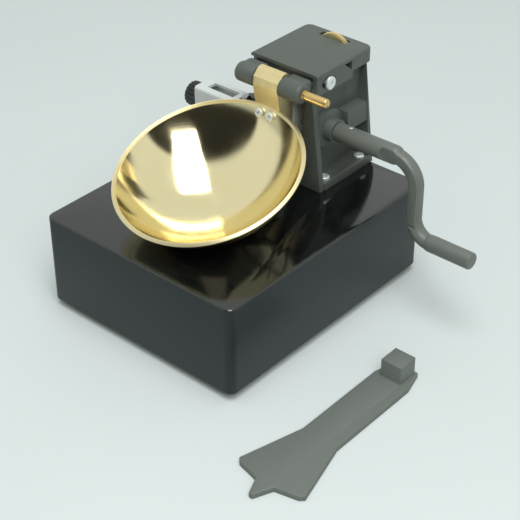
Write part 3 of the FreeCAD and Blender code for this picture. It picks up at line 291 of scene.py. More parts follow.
# Feet: four turned discs of soft black rubber, each let in below for the pan head screw that
# holds it up against the block.
def turned(name, profile, place, axis, steps=64):
    """A piece turned on a lathe: a profile of (radius, along) points in mm, spun about the axis."""
    bpy.ops.object.select_all(action="DESELECT")
    bpy.ops.mesh.primitive_plane_add(size=MM, location=(0, 0, 0))
    piece = bpy.context.object
    piece.name = name
    bpy.ops.object.mode_set(mode="EDIT")
    bpy.ops.mesh.select_mode(type="VERT")
    bpy.ops.mesh.merge(type="CENTER")
    first = Vector((profile[0][0], 0, profile[0][1])) * MM
    bpy.ops.transform.translate(value=first)
    for (radius, along), (radius_before, along_before) in zip(profile[1:], profile[:-1]):
        step = Vector((radius - radius_before, 0, along - along_before)) * MM
        bpy.ops.mesh.extrude_vertices_move(TRANSFORM_OT_translate={"value": step})
    bpy.ops.mesh.select_all(action="SELECT")
    bpy.ops.mesh.spin(steps=steps, angle=math.tau, center=(0, 0, 0), axis=(0, 0, 1))
    bpy.ops.mesh.select_all(action="SELECT")
    bpy.ops.mesh.remove_doubles(threshold=0.002 * MM)
    bpy.ops.mesh.normals_make_consistent(inside=False)
    bpy.ops.object.mode_set(mode="OBJECT")
    bpy.ops.object.shade_smooth_by_angle(angle=SMOOTH_ANGLE)
    settle(piece, place, axis)
    return piece


def settle(piece, place, axis):
    """Turns a piece drawn along +Z to an axis, moves it to its place and applies both to its mesh."""
    select_only(piece)
    swing = Vector((0, 0, 1)).rotation_difference(Vector(axis))
    piece.matrix_world = Matrix.Translation(place) @ swing.to_matrix().to_4x4()
    bpy.ops.object.transform_apply(location=True, rotation=True, scale=True)


def copy_of(piece, name):
    """A second one of a piece, with its own mesh."""
    other = piece.copy()
    other.data = piece.data.copy()
    other.name = name
    bpy.context.scene.collection.objects.link(other)
    return other


FOOT_INSET = 16.0
FOOT_RECESS = 2.4
BLOCK_W = 125.0
BLOCK_L = 150.0
FOOT_DUST = 1.1 * MM
# soft rubber: charcoal, wholly matt, with pale dust caught in its pores
foot_rubber, tree, here = start_material("soft_black_rubber")
dust = add_node(tree, "ShaderNodeTexNoise", {"Scale": 1 / FOOT_DUST, "Detail": 6.0}, Vector=here)
tone = add_node(tree, "ShaderNodeMix", {"data_type": "RGBA"}, Factor=dust.outputs["Fac"])
tone.inputs[6].default_value = srgb("#0E0E0F")
tone.inputs[7].default_value = srgb("#2B2B2A")
pores = add_node(tree, "ShaderNodeBump", {"Strength": 0.4, "Distance": 0.05 * MM},
                 Height=dust.outputs["Fac"])
shader = add_node(tree, "ShaderNodeBsdfPrincipled", {"Roughness": 0.85}, Base_Color=tone.outputs[2],
                  Normal=pores.outputs["Normal"])
close_material(tree, shader)
foot_profile = [(2.05, 4.0), (9.6, 4.0), (10.0, 3.6), (9.75, 2.6), (9.55, 2.5), (9.5, 2.2),
                (9.1, 0.5), (8.6, 0.0), (5.3, 0.0), (4.6, 0.4), (4.5, FOOT_RECESS),
                (2.05, FOOT_RECESS), (2.05, 4.0)]
foot_model = turned("rubber_foot_1", foot_profile, Vector((0, 0, 0)), (0, 0, 1), 48)
FOOT_PLACES = [(sx * (BLOCK_W / 2 - FOOT_INSET), sy * (BLOCK_L / 2 - FOOT_INSET))
               for sx in (-1, 1) for sy in (-1, 1)]
feet = [foot_model] + [copy_of(foot_model, "rubber_foot_" + str(i)) for i in (2, 3, 4)]
for foot, (x, y) in zip(feet, FOOT_PLACES):
    settle(foot, at(x, y, 0), (0, 0, 1))
    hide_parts("rubber_feet")
    dress(foot, foot_rubber, "base")


# Screws: zinc plated steel pan heads with a cross recess, cold headed and then rolled. One is
# modelled for each size and copied to its seats: under the feet first, then where they are met.
def pan_screw(name, head_d, shank_d, length):
    """Domed head with a cross recess and a rolled shank, seat at the origin and head along +Z."""
    head_h = 0.55 * shank_d
    thread = 0.09 * shank_d
    pitch = 0.32 * shank_d
    profile = [(0, head_h)]
    for share in range(1, 9):
        angle = math.radians(80) * share / 8
        profile.append((head_d / 2 * math.sin(angle), head_h * (0.45 + 0.55 * math.cos(angle ** 2.2 / 2.3))))
    profile += [(head_d / 2, head_h * 0.5), (head_d / 2, 0.08 * head_h), (head_d / 2 - 0.1, 0),
                (shank_d / 2, 0)]
    along = -1.0
    while along > pitch - length:
        profile += [(shank_d / 2, along), (shank_d / 2 - thread, along - pitch / 2)]
        along -= pitch
    profile += [(shank_d / 2 - thread, -length + 0.2), (shank_d / 2 - thread - 0.2, -length), (0, -length)]
    screw = turned(name, profile, Vector((0, 0, 0)), (0, 0, 1), 40)
    # cross recess: a plate extruded down and tapered, turned a quarter for the second one
    for turn in (0.0, math.pi / 2):
        bpy.ops.object.select_all(action="DESELECT")
        bpy.ops.mesh.primitive_plane_add(size=MM, location=(0, 0, 1.3 * head_h * MM))
        cutter = bpy.context.object
        bpy.ops.object.mode_set(mode="EDIT")
        bpy.ops.mesh.select_all(action="SELECT")
        bpy.ops.transform.resize(value=(0.56 * head_d, 0.13 * head_d, 1))
        bpy.ops.mesh.extrude_region_move(TRANSFORM_OT_translate={"value": (0, 0, -0.95 * head_h * MM)})
        bpy.ops.transform.resize(value=(0.55, 0.75, 1))
        bpy.ops.mesh.select_all(action="SELECT")
        bpy.ops.transform.rotate(value=turn + 0.6, orient_axis="Z", center_override=(0, 0, 0))
        bpy.ops.mesh.normals_make_consistent(inside=False)
        bpy.ops.object.mode_set(mode="OBJECT")
        select_only(screw)
        bpy.ops.object.modifier_add(type="BOOLEAN")
        cut = screw.modifiers[-1]
        cut.operation = "DIFFERENCE"
        cut.solver = "EXACT"
        cut.object = cutter
        bpy.ops.object.modifier_apply(modifier=cut.name)
        bpy.data.objects.remove(cutter)
    bpy.ops.object.shade_smooth_by_angle(angle=SMOOTH_ANGLE)
    return screw


def drive_screws(model, names, seats, node, body):
    """Copies a screw to its seats, given as a place and the direction that its head faces."""
    screws = [model] + [copy_of(model, name) for name in names[1:]]
    for screw, name, (place, axis) in zip(screws, names, seats):
        screw.name = name
        settle(screw, place, axis)
        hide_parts(node)
        dress(screw, zinc_plate, body)


ZINC_BLOOM = 0.7 * MM
# zinc plate: a pale, dull white metal, clouded and finely pitted where it was barrelled
zinc_plate, tree, here = start_material("zinc_plated_steel")
bloom = add_node(tree, "ShaderNodeTexNoise", {"Scale": 1 / ZINC_BLOOM, "Detail": 5.0}, Vector=here)
tone = add_node(tree, "ShaderNodeMix", {"data_type": "RGBA"}, Factor=bloom.outputs["Fac"])
tone.inputs[6].default_value = srgb("#DDE3E2")
tone.inputs[7].default_value = srgb("#F4F8F6")
rough = add_node(tree, "ShaderNodeMapRange", {"To Min": 0.5, "To Max": 0.68}, Value=bloom.outputs["Fac"])
pits = add_node(tree, "ShaderNodeBump", {"Strength": 0.15, "Distance": 0.02 * MM},
                Height=bloom.outputs["Fac"])
shader = add_node(tree, "ShaderNodeBsdfPrincipled", {"Metallic": 1.0}, Base_Color=tone.outputs[2],
                  Roughness=rough.outputs["Result"], Normal=pits.outputs["Normal"])
close_material(tree, shader)
drive_screws(pan_screw("foot_screw", 7.2, 4.0, 12.0), ["foot_screw_" + str(i) for i in (1, 2, 3, 4)],
             [(at(x, y, FOOT_RECESS), (0, 0, -1)) for x, y in FOOT_PLACES], "foot_screws", "base")


# Tower housing: one thick moulding of dark grey nylon with drafted sides, set in panels, a round
# boss for the crankshaft and a flat roof. Four screws hold its foot flanges to the block.
GRAIN = 0.55 * MM
SINK_CLOUD = 16 * MM
# moulded nylon: even dark grey with a fine spark eroded grain, and slow sink clouds on flat walls
moulded_nylon, tree, here = start_material("dark_grey_moulded_nylon")
grain = add_node(tree, "ShaderNodeTexNoise", {"Scale": 1 / GRAIN, "Detail": 4.0}, Vector=here)
sink = add_node(tree, "ShaderNodeTexNoise", {"Scale": 1 / SINK_CLOUD, "Detail": 2.0}, Vector=here)
mixed = add_node(tree, "ShaderNodeMix", {"data_type": "FLOAT"}, Factor=sink.outputs["Fac"])
mixed.inputs[2].default_value = 0.2
tree.links.new(grain.outputs["Fac"], mixed.inputs[3])
tone = add_node(tree, "ShaderNodeMix", {"data_type": "RGBA"}, Factor=mixed.outputs[0])
tone.inputs[6].default_value = srgb("#484E48")
tone.inputs[7].default_value = srgb("#585E58")
rough = add_node(tree, "ShaderNodeMapRange", {"To Min": 0.4, "To Max": 0.6}, Value=sink.outputs["Fac"])
bump = add_node(tree, "ShaderNodeBump", {"Strength": 0.25, "Distance": 0.05 * MM},
                Height=grain.outputs["Fac"])
shader = add_node(tree, "ShaderNodeBsdfPrincipled", {"IOR": 1.53}, Base_Color=tone.outputs[2],
                  Roughness=rough.outputs["Result"], Normal=bump.outputs["Normal"])
close_material(tree, shader)
tower = own_copy("tower_housing", "tower_moulding", 0.22)
dress(tower, moulded_nylon, "base")

TOWER_MIDDLE = 4.0
TOWER_SCREW_HALF = 21.2
TOWER_SCREW_YS = (39.4, 68.6)
FLANGE_TOP = 58.0
drive_screws(pan_screw("tower_screw", 5.6, 3.5, 16.0), ["tower_screw_" + str(i) for i in (1, 2, 3, 4)],
             [(at(TOWER_MIDDLE + side * TOWER_SCREW_HALF, y, FLANGE_TOP), (0, 0, 1))
              for side in (-1, 1) for y in TOWER_SCREW_YS], "tower_screws", "base")


# Camshaft, bushes, clip and snail cam: a ground steel shaft in two sintered bronze bushes, kept
# by a spring clip, with a white acetal cam held on it by a grub screw.
TURNING = 0.35 * MM
# ground steel: mid grey, with fine rings round the shaft from the grinding wheel
ground_steel, tree, here = start_material("ground_steel")
drawn = add_node(tree, "ShaderNodeMapping", {"Scale": (1 / TURNING, 40.0, 40.0)}, Vector=here)
rings = add_node(tree, "ShaderNodeTexNoise", {"Scale": 1.0, "Detail": 3.0}, Vector=drawn.outputs["Vector"])
tone = add_node(tree, "ShaderNodeMix", {"data_type": "RGBA"}, Factor=rings.outputs["Fac"])
tone.inputs[6].default_value = srgb("#8E9194")
tone.inputs[7].default_value = srgb("#B4B7B9")
rough = add_node(tree, "ShaderNodeMapRange", {"To Min": 0.22, "To Max": 0.4}, Value=rings.outputs["Fac"])
shader = add_node(tree, "ShaderNodeBsdfPrincipled", {"Metallic": 1.0}, Base_Color=tone.outputs[2],
                  Roughness=rough.outputs["Result"])
close_material(tree, shader)

SINTER = 0.3 * MM
# sintered bronze: dull brown gold, speckled where oil fills the pores
sintered_bronze, tree, here = start_material("sintered_bronze")
pores = add_node(tree, "ShaderNodeTexVoronoi", {"Scale": 1 / SINTER}, Vector=here)
tone = add_node(tree, "ShaderNodeMix", {"data_type": "RGBA"}, Factor=pores.outputs["Distance"])
tone.inputs[6].default_value = srgb("#6E5732")
tone.inputs[7].default_value = srgb("#B08C4C")
bump = add_node(tree, "ShaderNodeBump", {"Strength": 0.3, "Distance": 0.03 * MM},
                Height=pores.outputs["Distance"])
shader = add_node(tree, "ShaderNodeBsdfPrincipled", {"Metallic": 1.0, "Roughness": 0.5},
                  Base_Color=tone.outputs[2], Normal=bump.outputs["Normal"])
close_material(tree, shader)

CUTTER_MARK = 0.6 * MM
# acetal: milky white and waxy, with shallow cutter marks on its milled edge
white_acetal, tree, here = start_material("white_acetal")
marks = add_node(tree, "ShaderNodeTexNoise", {"Scale": 1 / CUTTER_MARK, "Detail": 2.0}, Vector=here)
tone = add_node(tree, "ShaderNodeMix", {"data_type": "RGBA"}, Factor=marks.outputs["Fac"])
tone.inputs[6].default_value = srgb("#D6D3C8")
tone.inputs[7].default_value = srgb("#E6E4DC")
bump = add_node(tree, "ShaderNodeBump", {"Strength": 0.15, "Distance": 0.03 * MM},
                Height=marks.outputs["Fac"])
shader = add_node(tree, "ShaderNodeBsdfPrincipled",
                  {"Roughness": 0.38, "IOR": 1.48, "Subsurface Weight": 0.15,
                   "Subsurface Scale": 0.8 * MM},
                  Base_Color=tone.outputs[2], Normal=bump.outputs["Normal"])
close_material(tree, shader)

dress(own_copy("camshaft", "camshaft_turned", 0.15), ground_steel, "crank")
dress(own_copy("cam", "snail_cam"), white_acetal, "crank")
dress(own_copy("shaft_clip", "spring_clip", 0.08), ground_steel, "crank")
dress(own_copy("shaft_bush_right", "bronze_bush_right", 0.2), sintered_bronze, "base")
dress(own_copy("shaft_bush_left", "bronze_bush_left", 0.2), sintered_bronze, "base")


# Crank: one nylon moulding with a round hub, an arm with a flat front that is bent down past the
# block, and a round grip. A steel pin through the hub drives the shaft.
HANDLING = 7 * MM
# moulded nylon that hands have worn: a shade lighter than the tower, and sleeker where it is held
worn_nylon, tree, here = start_material("hand_worn_nylon")
grain = add_node(tree, "ShaderNodeTexNoise", {"Scale": 1 / GRAIN, "Detail": 4.0}, Vector=here)
wear = add_node(tree, "ShaderNodeTexNoise", {"Scale": 1 / HANDLING, "Detail": 5.0}, Vector=here)
tone = add_node(tree, "ShaderNodeMix", {"data_type": "RGBA"}, Factor=grain.outputs["Fac"])
tone.inputs[6].default_value = srgb("#5A5F59")
tone.inputs[7].default_value = srgb("#696E68")
rough = add_node(tree, "ShaderNodeMapRange",
                 {"From Min": 0.3, "From Max": 0.7, "To Min": 0.34, "To Max": 0.55},
                 Value=wear.outputs["Fac"])
bump = add_node(tree, "ShaderNodeBump", {"Strength": 0.2, "Distance": 0.04 * MM},
                Height=grain.outputs["Fac"])
shader = add_node(tree, "ShaderNodeBsdfPrincipled", {"IOR": 1.53}, Base_Color=tone.outputs[2],
                  Roughness=rough.outputs["Result"], Normal=bump.outputs["Normal"])
close_material(tree, shader)
dress(own_copy("crank_handle", "crank_moulding", 0.25), worn_nylon, "crank")
dress(own_copy("crank_pin", "crank_cross_pin", 0.12), zinc_plate, "crank")


# Carriage: the second nylon moulding, two barrels on a slab that slides in the tower's roof. Two
# pan head screws through the slots in the tower's sides clamp it.
dress(own_copy("carriage", "carriage_moulding", 0.22), moulded_nylon, "carriage")
CLAMP_X = 21.5
CLAMP_Y = 41.2
CLAMP_Z = 112.95
drive_screws(pan_screw("clamp_screw", 7.0, 3.0, 13.55), ["clamp_screw_right", "clamp_screw_left"],
             [(at(TOWER_MIDDLE + side * CLAMP_X, CLAMP_Y, CLAMP_Z), (side, 0, 0)) for side in (1, -1)],
             "clamp_screws", "carriage")


# Adjusting screw and thumbwheel: a brass screw with a knurled brass wheel that stands through the
# roof's slot, and a brass collar in front of the web. Turning it sets the height of fall.
BRASS_BRUSH = 0.16 * MM
BRUSH_RUN = 22.0
BRASS_STAIN = 6 * MM
# satin brass: warm pale gold, brushed across with fine lines, slightly toned where it is handled
satin_brass, tree, here = start_material("satin_brass")
brushed = add_node(tree, "ShaderNodeMapping", {"Scale": (1.0, BRUSH_RUN, BRUSH_RUN)}, Vector=here)
lines = add_node(tree, "ShaderNodeTexNoise", {"Scale": 1 / (BRASS_BRUSH * BRUSH_RUN), "Detail": 3.0},
                 Vector=brushed.outputs["Vector"])
stain = add_node(tree, "ShaderNodeTexNoise", {"Scale": 1 / BRASS_STAIN, "Detail": 4.0}, Vector=here)
tone = add_node(tree, "ShaderNodeMix", {"data_type": "RGBA"}, Factor=stain.outputs["Fac"])
tone.inputs[6].default_value = srgb("#DCC88E")
tone.inputs[7].default_value = srgb("#F0E2B6")
rough = add_node(tree, "ShaderNodeMapRange", {"To Min": 0.36, "To Max": 0.55}, Value=lines.outputs["Fac"])
bump = add_node(tree, "ShaderNodeBump", {"Strength": 0.2, "Distance": 0.01 * MM},
                Height=lines.outputs["Fac"])
shader = add_node(tree, "ShaderNodeBsdfPrincipled", {"Metallic": 1.0}, Base_Color=tone.outputs[2],
                  Roughness=rough.outputs["Result"], Normal=bump.outputs["Normal"])
close_material(tree, shader)


def knurl(piece, place, axis, radius, steps, low_steps, shrink):
    """Draws in some of the points on a turned rim, in a repeated pattern round its axis."""
    select_only(piece)
    bpy.ops.object.mode_set(mode="EDIT")
    bpy.ops.mesh.select_mode(type="VERT")
    bpy.ops.mesh.select_all(action="DESELECT")
    bpy.ops.object.mode_set(mode="OBJECT")
    for point in piece.data.vertices:
        arm = point.co - place
        across = (arm.x, arm.z) if axis == "Y" else (arm.y, arm.z)
        number = round(math.atan2(across[1], across[0]) / math.tau * steps) % steps
        on_rim = math.hypot(*across) > (radius - 0.05) * MM
        point.select = on_rim and number % (2 * low_steps) < low_steps
    bpy.ops.object.mode_set(mode="EDIT")
    value = (shrink, 1, shrink) if axis == "Y" else (1, shrink, shrink)
    bpy.ops.transform.resize(value=value, center_override=place)
    bpy.ops.object.mode_set(mode="OBJECT")
    bpy.ops.object.shade_smooth_by_angle(angle=math.radians(20))


WHEEL_PLACE = at(TOWER_MIDDLE, 70.6, 111.0)
wheel_profile = [(2.5, 0), (10.3, 0), (10.85, 0.1), (11.0, 0.25), (11.0, 0.55), (9.95, 0.62),
                 (9.9, 1.36), (11.0, 1.45), (11.0, 2.75), (10.85, 2.9), (10.3, 3.0), (2.5, 3.0),
                 (2.5, 0)]
wheel = turned("knurled_thumbwheel", wheel_profile, WHEEL_PLACE, (0, 1, 0), 144)
knurl(wheel, WHEEL_PLACE, "Y", 11.0, 144, 1, 0.968)
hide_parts("thumbwheel")
dress(wheel, satin_brass, "adjuster")
dress(own_copy("adjusting_screw", "adjusting_screw_rod", 0.12), satin_brass, "adjuster")
dress(own_copy("screw_collar", "screw_collar_ring", 0.2), satin_brass, "adjuster")


# Pivot pin: turned from brass rod, with a neck just outside the right barrel and a rounded end
# that is left long enough to pull it out by.
PIN_TURNING = 0.4 * MM
# turned brass: deeper and yellower than the bowl, ringed finely by the lathe
turned_brass, tree, here = start_material("turned_brass")
drawn = add_node(tree, "ShaderNodeMapping", {"Scale": (1 / PIN_TURNING, 60.0, 60.0)}, Vector=here)
rings = add_node(tree, "ShaderNodeTexNoise", {"Scale": 1.0, "Detail": 2.0}, Vector=drawn.outputs["Vector"])
tone = add_node(tree, "ShaderNodeMix", {"data_type": "RGBA"}, Factor=rings.outputs["Fac"])
tone.inputs[6].default_value = srgb("#D2AE6A")
tone.inputs[7].default_value = srgb("#E9CD90")
rough = add_node(tree, "ShaderNodeMapRange", {"To Min": 0.24, "To Max": 0.4}, Value=rings.outputs["Fac"])
bump = add_node(tree, "ShaderNodeBump", {"Strength": 0.15, "Distance": 0.01 * MM},
                Height=rings.outputs["Fac"])
shader = add_node(tree, "ShaderNodeBsdfPrincipled", {"Metallic": 1.0}, Base_Color=tone.outputs[2],
                  Roughness=rough.outputs["Result"], Normal=bump.outputs["Normal"])
close_material(tree, shader)
PIVOT_Y = 21.3
PIVOT_Z = 114.0
pin_profile = [(0, 0), (1.7, 0), (2.2, 0.25), (2.4, 0.7), (2.4, 38.8), (2.25, 38.95), (1.72, 39.1),
               (1.72, 40.1), (2.25, 40.25), (2.4, 40.4), (2.4, 52.4), (2.3, 52.9), (2.0, 53.25),
               (1.4, 53.45), (0, 53.5)]
pin = turned("pivot_pin_turned", pin_profile, at(-13.0, PIVOT_Y, PIVOT_Z), (1, 0, 0), 48)
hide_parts("pivot_pin")
dress(pin, turned_brass, "pin")


# Bowl: spun from brass sheet over a ball, 2 mm thick, the corners of its lip broken, then polished
# to a mirror inside. Two pan head screws below the lip hold it to the hanger.
BOWL_R = 56.0
BOWL_WALL = 2.0
BOWL_TILT = math.radians(19.5)
RIM_BELOW = 27.0
LIP_ROUND = 0.45
BOWL_CENTRE = at(TOWER_MIDDLE, PIVOT_Y - BOWL_R, 54.1 + BOWL_R)
bowl_axis = Vector((0, -math.sin(BOWL_TILT), math.cos(BOWL_TILT)))
rim_place = BOWL_CENTRE - bowl_axis * RIM_BELOW * MM
bpy.ops.object.select_all(action="DESELECT")
bpy.ops.mesh.primitive_uv_sphere_add(segments=144, ring_count=96, radius=BOWL_R * MM, location=BOWL_CENTRE,
                                     rotation=(BOWL_TILT, 0, 0))
bowl = bpy.context.object
bowl.name = "spun_bowl"
bpy.ops.object.mode_set(mode="EDIT")
bpy.ops.mesh.select_all(action="SELECT")
bpy.ops.mesh.bisect(plane_co=rim_place, plane_no=bowl_axis, clear_outer=True)
bpy.ops.object.mode_set(mode="OBJECT")
bpy.ops.object.transform_apply(location=True, rotation=True, scale=True)
bpy.ops.object.modifier_add(type="SOLIDIFY")
wall = bowl.modifiers[-1]
wall.thickness = BOWL_WALL * MM
wall.offset = -1.0
wall.use_even_offset = True
bpy.ops.object.modifier_apply(modifier=wall.name)
bpy.ops.object.mode_set(mode="EDIT")
bpy.ops.mesh.select_mode(type="EDGE")
bpy.ops.mesh.select_all(action="DESELECT")
bpy.ops.object.mode_set(mode="OBJECT")
points = bowl.data.vertices
for edge in bowl.data.edges:
    ends = [points[i].co - rim_place for i in edge.vertices]
    on_lip = all(end.dot(bowl_axis) > -1.3 * MM for end in ends)
    around = abs(ends[0].length - ends[1].length) < 0.3 * MM
    edge.select = on_lip and around and all(end.dot(bowl_axis) > -0.05 * MM or
                                            end.length < 48.5 * MM for end in ends)
bpy.ops.object.mode_set(mode="EDIT")
bpy.ops.mesh.bevel(offset=LIP_ROUND * MM, segments=4, affect="EDGES")
bpy.ops.object.mode_set(mode="OBJECT")
bpy.ops.object.shade_smooth_by_angle(angle=math.radians(60))

SPIN_MARK = 0.7 * MM
HAND_MARK = 18 * MM
POLISH_WAVE = 26 * MM
LIP_DEPTH = (0.5, 0.35)
# polished brass: a pale lemon gold mirror, smeared outward from the middle by its fine rings, with
# a slow waver from polishing by hand, dull finger marks, and a lip that is turned but not polished
polished_brass, tree, here = start_material("polished_spun_brass")
centred = add_node(tree, "ShaderNodeMapping", {"vector_type": "TEXTURE", "Location": BOWL_CENTRE,
                                               "Rotation": (BOWL_TILT, 0, 0)}, Vector=here)
spinning = add_node(tree, "ShaderNodeTexWave", {"wave_type": "RINGS", "rings_direction": "Z",
                                                "Scale": math.tau / (20 * SPIN_MARK), "Distortion": 0.6,
                                                "Detail": 1.0, "Detail Scale": 1.0},
                    Vector=centred.outputs["Vector"])
waver = add_node(tree, "ShaderNodeTexNoise", {"Scale": 1 / POLISH_WAVE, "Detail": 1.0}, Vector=here)
marks = add_node(tree, "ShaderNodeTexNoise", {"Scale": 1 / HAND_MARK, "Detail": 7.0, "Roughness": 0.6},
                 Vector=here)
tone = add_node(tree, "ShaderNodeMix", {"data_type": "RGBA"}, Factor=marks.outputs["Fac"])
tone.inputs[6].default_value = srgb("#F0E0AC")
tone.inputs[7].default_value = srgb("#F7EBC2")
rough = add_node(tree, "ShaderNodeMapRange",
                 {"From Min": 0.4, "From Max": 0.75, "To Min": 0.09, "To Max": 0.17},
                 Value=marks.outputs["Fac"])
wavy = add_node(tree, "ShaderNodeBump", {"Strength": 0.3, "Distance": 0.25 * MM},
                Height=waver.outputs["Fac"])
ringed = add_node(tree, "ShaderNodeBump", {"Strength": 0.06, "Distance": 0.004 * MM},
                  Height=spinning.outputs["Fac"], Normal=wavy.outputs["Normal"])
height = add_node(tree, "ShaderNodeSeparateXYZ", Vector=centred.outputs["Vector"])
lip = add_node(tree, "ShaderNodeMapRange",
               {"From Min": (-RIM_BELOW - LIP_DEPTH[0]) * MM, "From Max": (-RIM_BELOW - LIP_DEPTH[1]) * MM},
               Value=height.outputs["Z"])
lip_rough = add_node(tree, "ShaderNodeMix", {"data_type": "FLOAT"}, Factor=lip.outputs["Result"])
tree.links.new(rough.outputs["Result"], lip_rough.inputs[2])
lip_rough.inputs[3].default_value = 0.5
# the direction round the bowl, a quarter turn from the way that its rings smear what it mirrors
arm = add_node(tree, "ShaderNodeVectorMath", {"operation": "SUBTRACT"})
tree.links.new(here, arm.inputs[0])
arm.inputs[1].default_value = BOWL_CENTRE
round_about = add_node(tree, "ShaderNodeVectorMath", {"operation": "CROSS_PRODUCT"})
round_about.inputs[0].default_value = bowl_axis
tree.links.new(arm.outputs["Vector"], round_about.inputs[1])
along = add_node(tree, "ShaderNodeVectorMath", {"operation": "NORMALIZE"})
tree.links.new(round_about.outputs["Vector"], along.inputs[0])
shader = add_node(tree, "ShaderNodeBsdfPrincipled",
                  {"Metallic": 1.0, "Anisotropic": 0.8, "Anisotropic Rotation": 0.25},
                  Base_Color=tone.outputs[2], Roughness=lip_rough.outputs[0],
                  Normal=ringed.outputs["Normal"], Tangent=along.outputs["Vector"])
close_material(tree, shader)
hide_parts("bowl")
dress(bowl, polished_brass, "cup")

BOWL_INNER_R = BOWL_R - BOWL_WALL
rim_half = math.sqrt(BOWL_INNER_R ** 2 - RIM_BELOW ** 2)
rim_back = rim_half * math.cos(BOWL_TILT) + RIM_BELOW * math.sin(BOWL_TILT)
rim_rise = rim_half * math.sin(BOWL_TILT) - RIM_BELOW * math.cos(BOWL_TILT)
SCREW_BELOW_LIP = 3.3
SCREW_HALF = 3.5
BOWL_SCREW_HEAD = 4.6
seat_angle = math.atan2(-rim_rise, rim_back) + SCREW_BELOW_LIP / BOWL_INNER_R
inward = Vector((0, -math.cos(seat_angle), math.sin(seat_angle)))
seat_depth = math.sqrt(BOWL_INNER_R ** 2 - (SCREW_HALF + BOWL_SCREW_HEAD / 2) ** 2)
drive_screws(pan_screw("bowl_screw", BOWL_SCREW_HEAD, 3.0, 9.0), ["bowl_screw_left", "bowl_screw_right"],
             [(BOWL_CENTRE + Vector((side * SCREW_HALF * MM, 0, 0)) - inward * seat_depth * MM, inward)
              for side in (-1, 1)], "bowl_screws", "cup")


# Hanger: a block milled from brass bar that swings on the pivot pin, carries the bowl on its
# front and reaches down to the cam with a hardened steel pad, and has a pin that trips the counter.
NOSE_R = 6.5
NOSE_Y = PIVOT_Y + 2.09
NOSE_Z = PIVOT_Z - 0.4
NOSE_FLATS = ((-10.3, 26.5), (26.5, 72.0))
hanger = own_copy("hanger", "milled_hanger")
bpy.ops.object.mode_set(mode="EDIT")
# the nose is milled in flats, from one angle to another in degrees above level, and each is cut
# straight across that part of the solid's round
for low, high in NOSE_FLATS:
    middle = math.radians((low + high) / 2)
    reach = NOSE_R * math.cos(math.radians((high - low) / 2))
    outward = Vector((0, -math.cos(middle), math.sin(middle)))
    bpy.ops.mesh.select_all(action="SELECT")
    bpy.ops.mesh.bisect(plane_co=at(0, NOSE_Y, NOSE_Z) + outward * reach * MM, plane_no=outward,
                        use_fill=True, clear_outer=True)
bpy.ops.mesh.select_all(action="SELECT")
bpy.ops.mesh.dissolve_limited(angle_limit=FLAT_ANGLE)
bpy.ops.object.mode_set(mode="OBJECT")
ease_edges(hanger, 0.12, 2, 15.0)
bpy.ops.object.shade_smooth_by_angle(angle=math.radians(12))
dress(hanger, satin_brass, "cup")
dress(own_copy("cam_follower", "follower_pad", 0.12), ground_steel, "cup")
dress(own_copy("follower_screw", "follower_screw_flush"), zinc_plate, "cup")
dress(own_copy("trip_pin", "trip_pin_rod", 0.2), ground_steel, "cup")
dress(own_copy("cam_grub_screw", "cam_grub_screw_set", 0.1), zinc_plate, "crank")


# Stroke counter: a light grey ABS case with a window over five white digit wheels, a black ribbed
# knob to set them back, and a pressed steel bracket that screws it to the tower's front rim.
CASE_GRAIN = 0.5 * MM
# moulded ABS: a cool light grey with the faintest grain, a little glossy
pale_abs, tree, here = start_material("pale_grey_abs")
grain = add_node(tree, "ShaderNodeTexNoise", {"Scale": 1 / CASE_GRAIN, "Detail": 3.0}, Vector=here)
tone = add_node(tree, "ShaderNodeMix", {"data_type": "RGBA"}, Factor=grain.outputs["Fac"])
tone.inputs[6].default_value = srgb("#C3CAC7")
tone.inputs[7].default_value = srgb("#CED4D1")
bump = add_node(tree, "ShaderNodeBump", {"Strength": 0.1, "Distance": 0.03 * MM},
                Height=grain.outputs["Fac"])
shader = add_node(tree, "ShaderNodeBsdfPrincipled", {"Roughness": 0.36, "IOR": 1.54},
                  Base_Color=tone.outputs[2], Normal=bump.outputs["Normal"])
close_material(tree, shader)
dress(own_copy("counter_case", "counter_shell"), pale_abs, "base")

PAINT_PEEL = 0.8 * MM
# stoved enamel: black paint with a slight orange peel over the pressed steel
black_enamel, tree, here = start_material("black_stoved_enamel")
peel = add_node(tree, "ShaderNodeTexNoise", {"Scale": 1 / PAINT_PEEL, "Detail": 1.0}, Vector=here)
tone = add_node(tree, "ShaderNodeMix", {"data_type": "RGBA"}, Factor=peel.outputs["Fac"])
tone.inputs[6].default_value = srgb("#101113")
tone.inputs[7].default_value = srgb("#1B1D1F")
bump = add_node(tree, "ShaderNodeBump", {"Strength": 0.25, "Distance": 0.04 * MM},
                Height=peel.outputs["Fac"])
shader = add_node(tree, "ShaderNodeBsdfPrincipled", {"Roughness": 0.28, "IOR": 1.5},
                  Base_Color=tone.outputs[2], Normal=bump.outputs["Normal"])
close_material(tree, shader)
dress(own_copy("counter_bracket", "pressed_bracket", 0.2), black_enamel, "base")
RIM_SCREW_X = -22.5
RIM_SCREW_Y = 34.25
RIM_SCREW_Z = 71.0
RIM_SCREW_DROP = 6.0
CASE_SCREW_X = -21.0
CASE_SCREW_Y = 25.6
CASE_SCREW_RISE = 5.6
COUNTER_MIDDLE_Z = 84.0
drive_screws(pan_screw("rim_screw", 4.5, 2.5, 6.0), ["rim_screw_upper", "rim_screw_lower"],
             [(at(RIM_SCREW_X, RIM_SCREW_Y, RIM_SCREW_Z - drop), (-1, 0, 0))
              for drop in (0, RIM_SCREW_DROP)], "bracket_screws", "base")
drive_screws(pan_screw("case_screw", 4.5, 2.5, 3.0), ["case_screw_lower", "case_screw_upper"],
             [(at(CASE_SCREW_X, CASE_SCREW_Y, COUNTER_MIDDLE_Z + rise), (1, 0, 0))
              for rise in (-CASE_SCREW_RISE, CASE_SCREW_RISE)], "bracket_screws", "base")

KNOB_SCUFF = 1.2 * MM
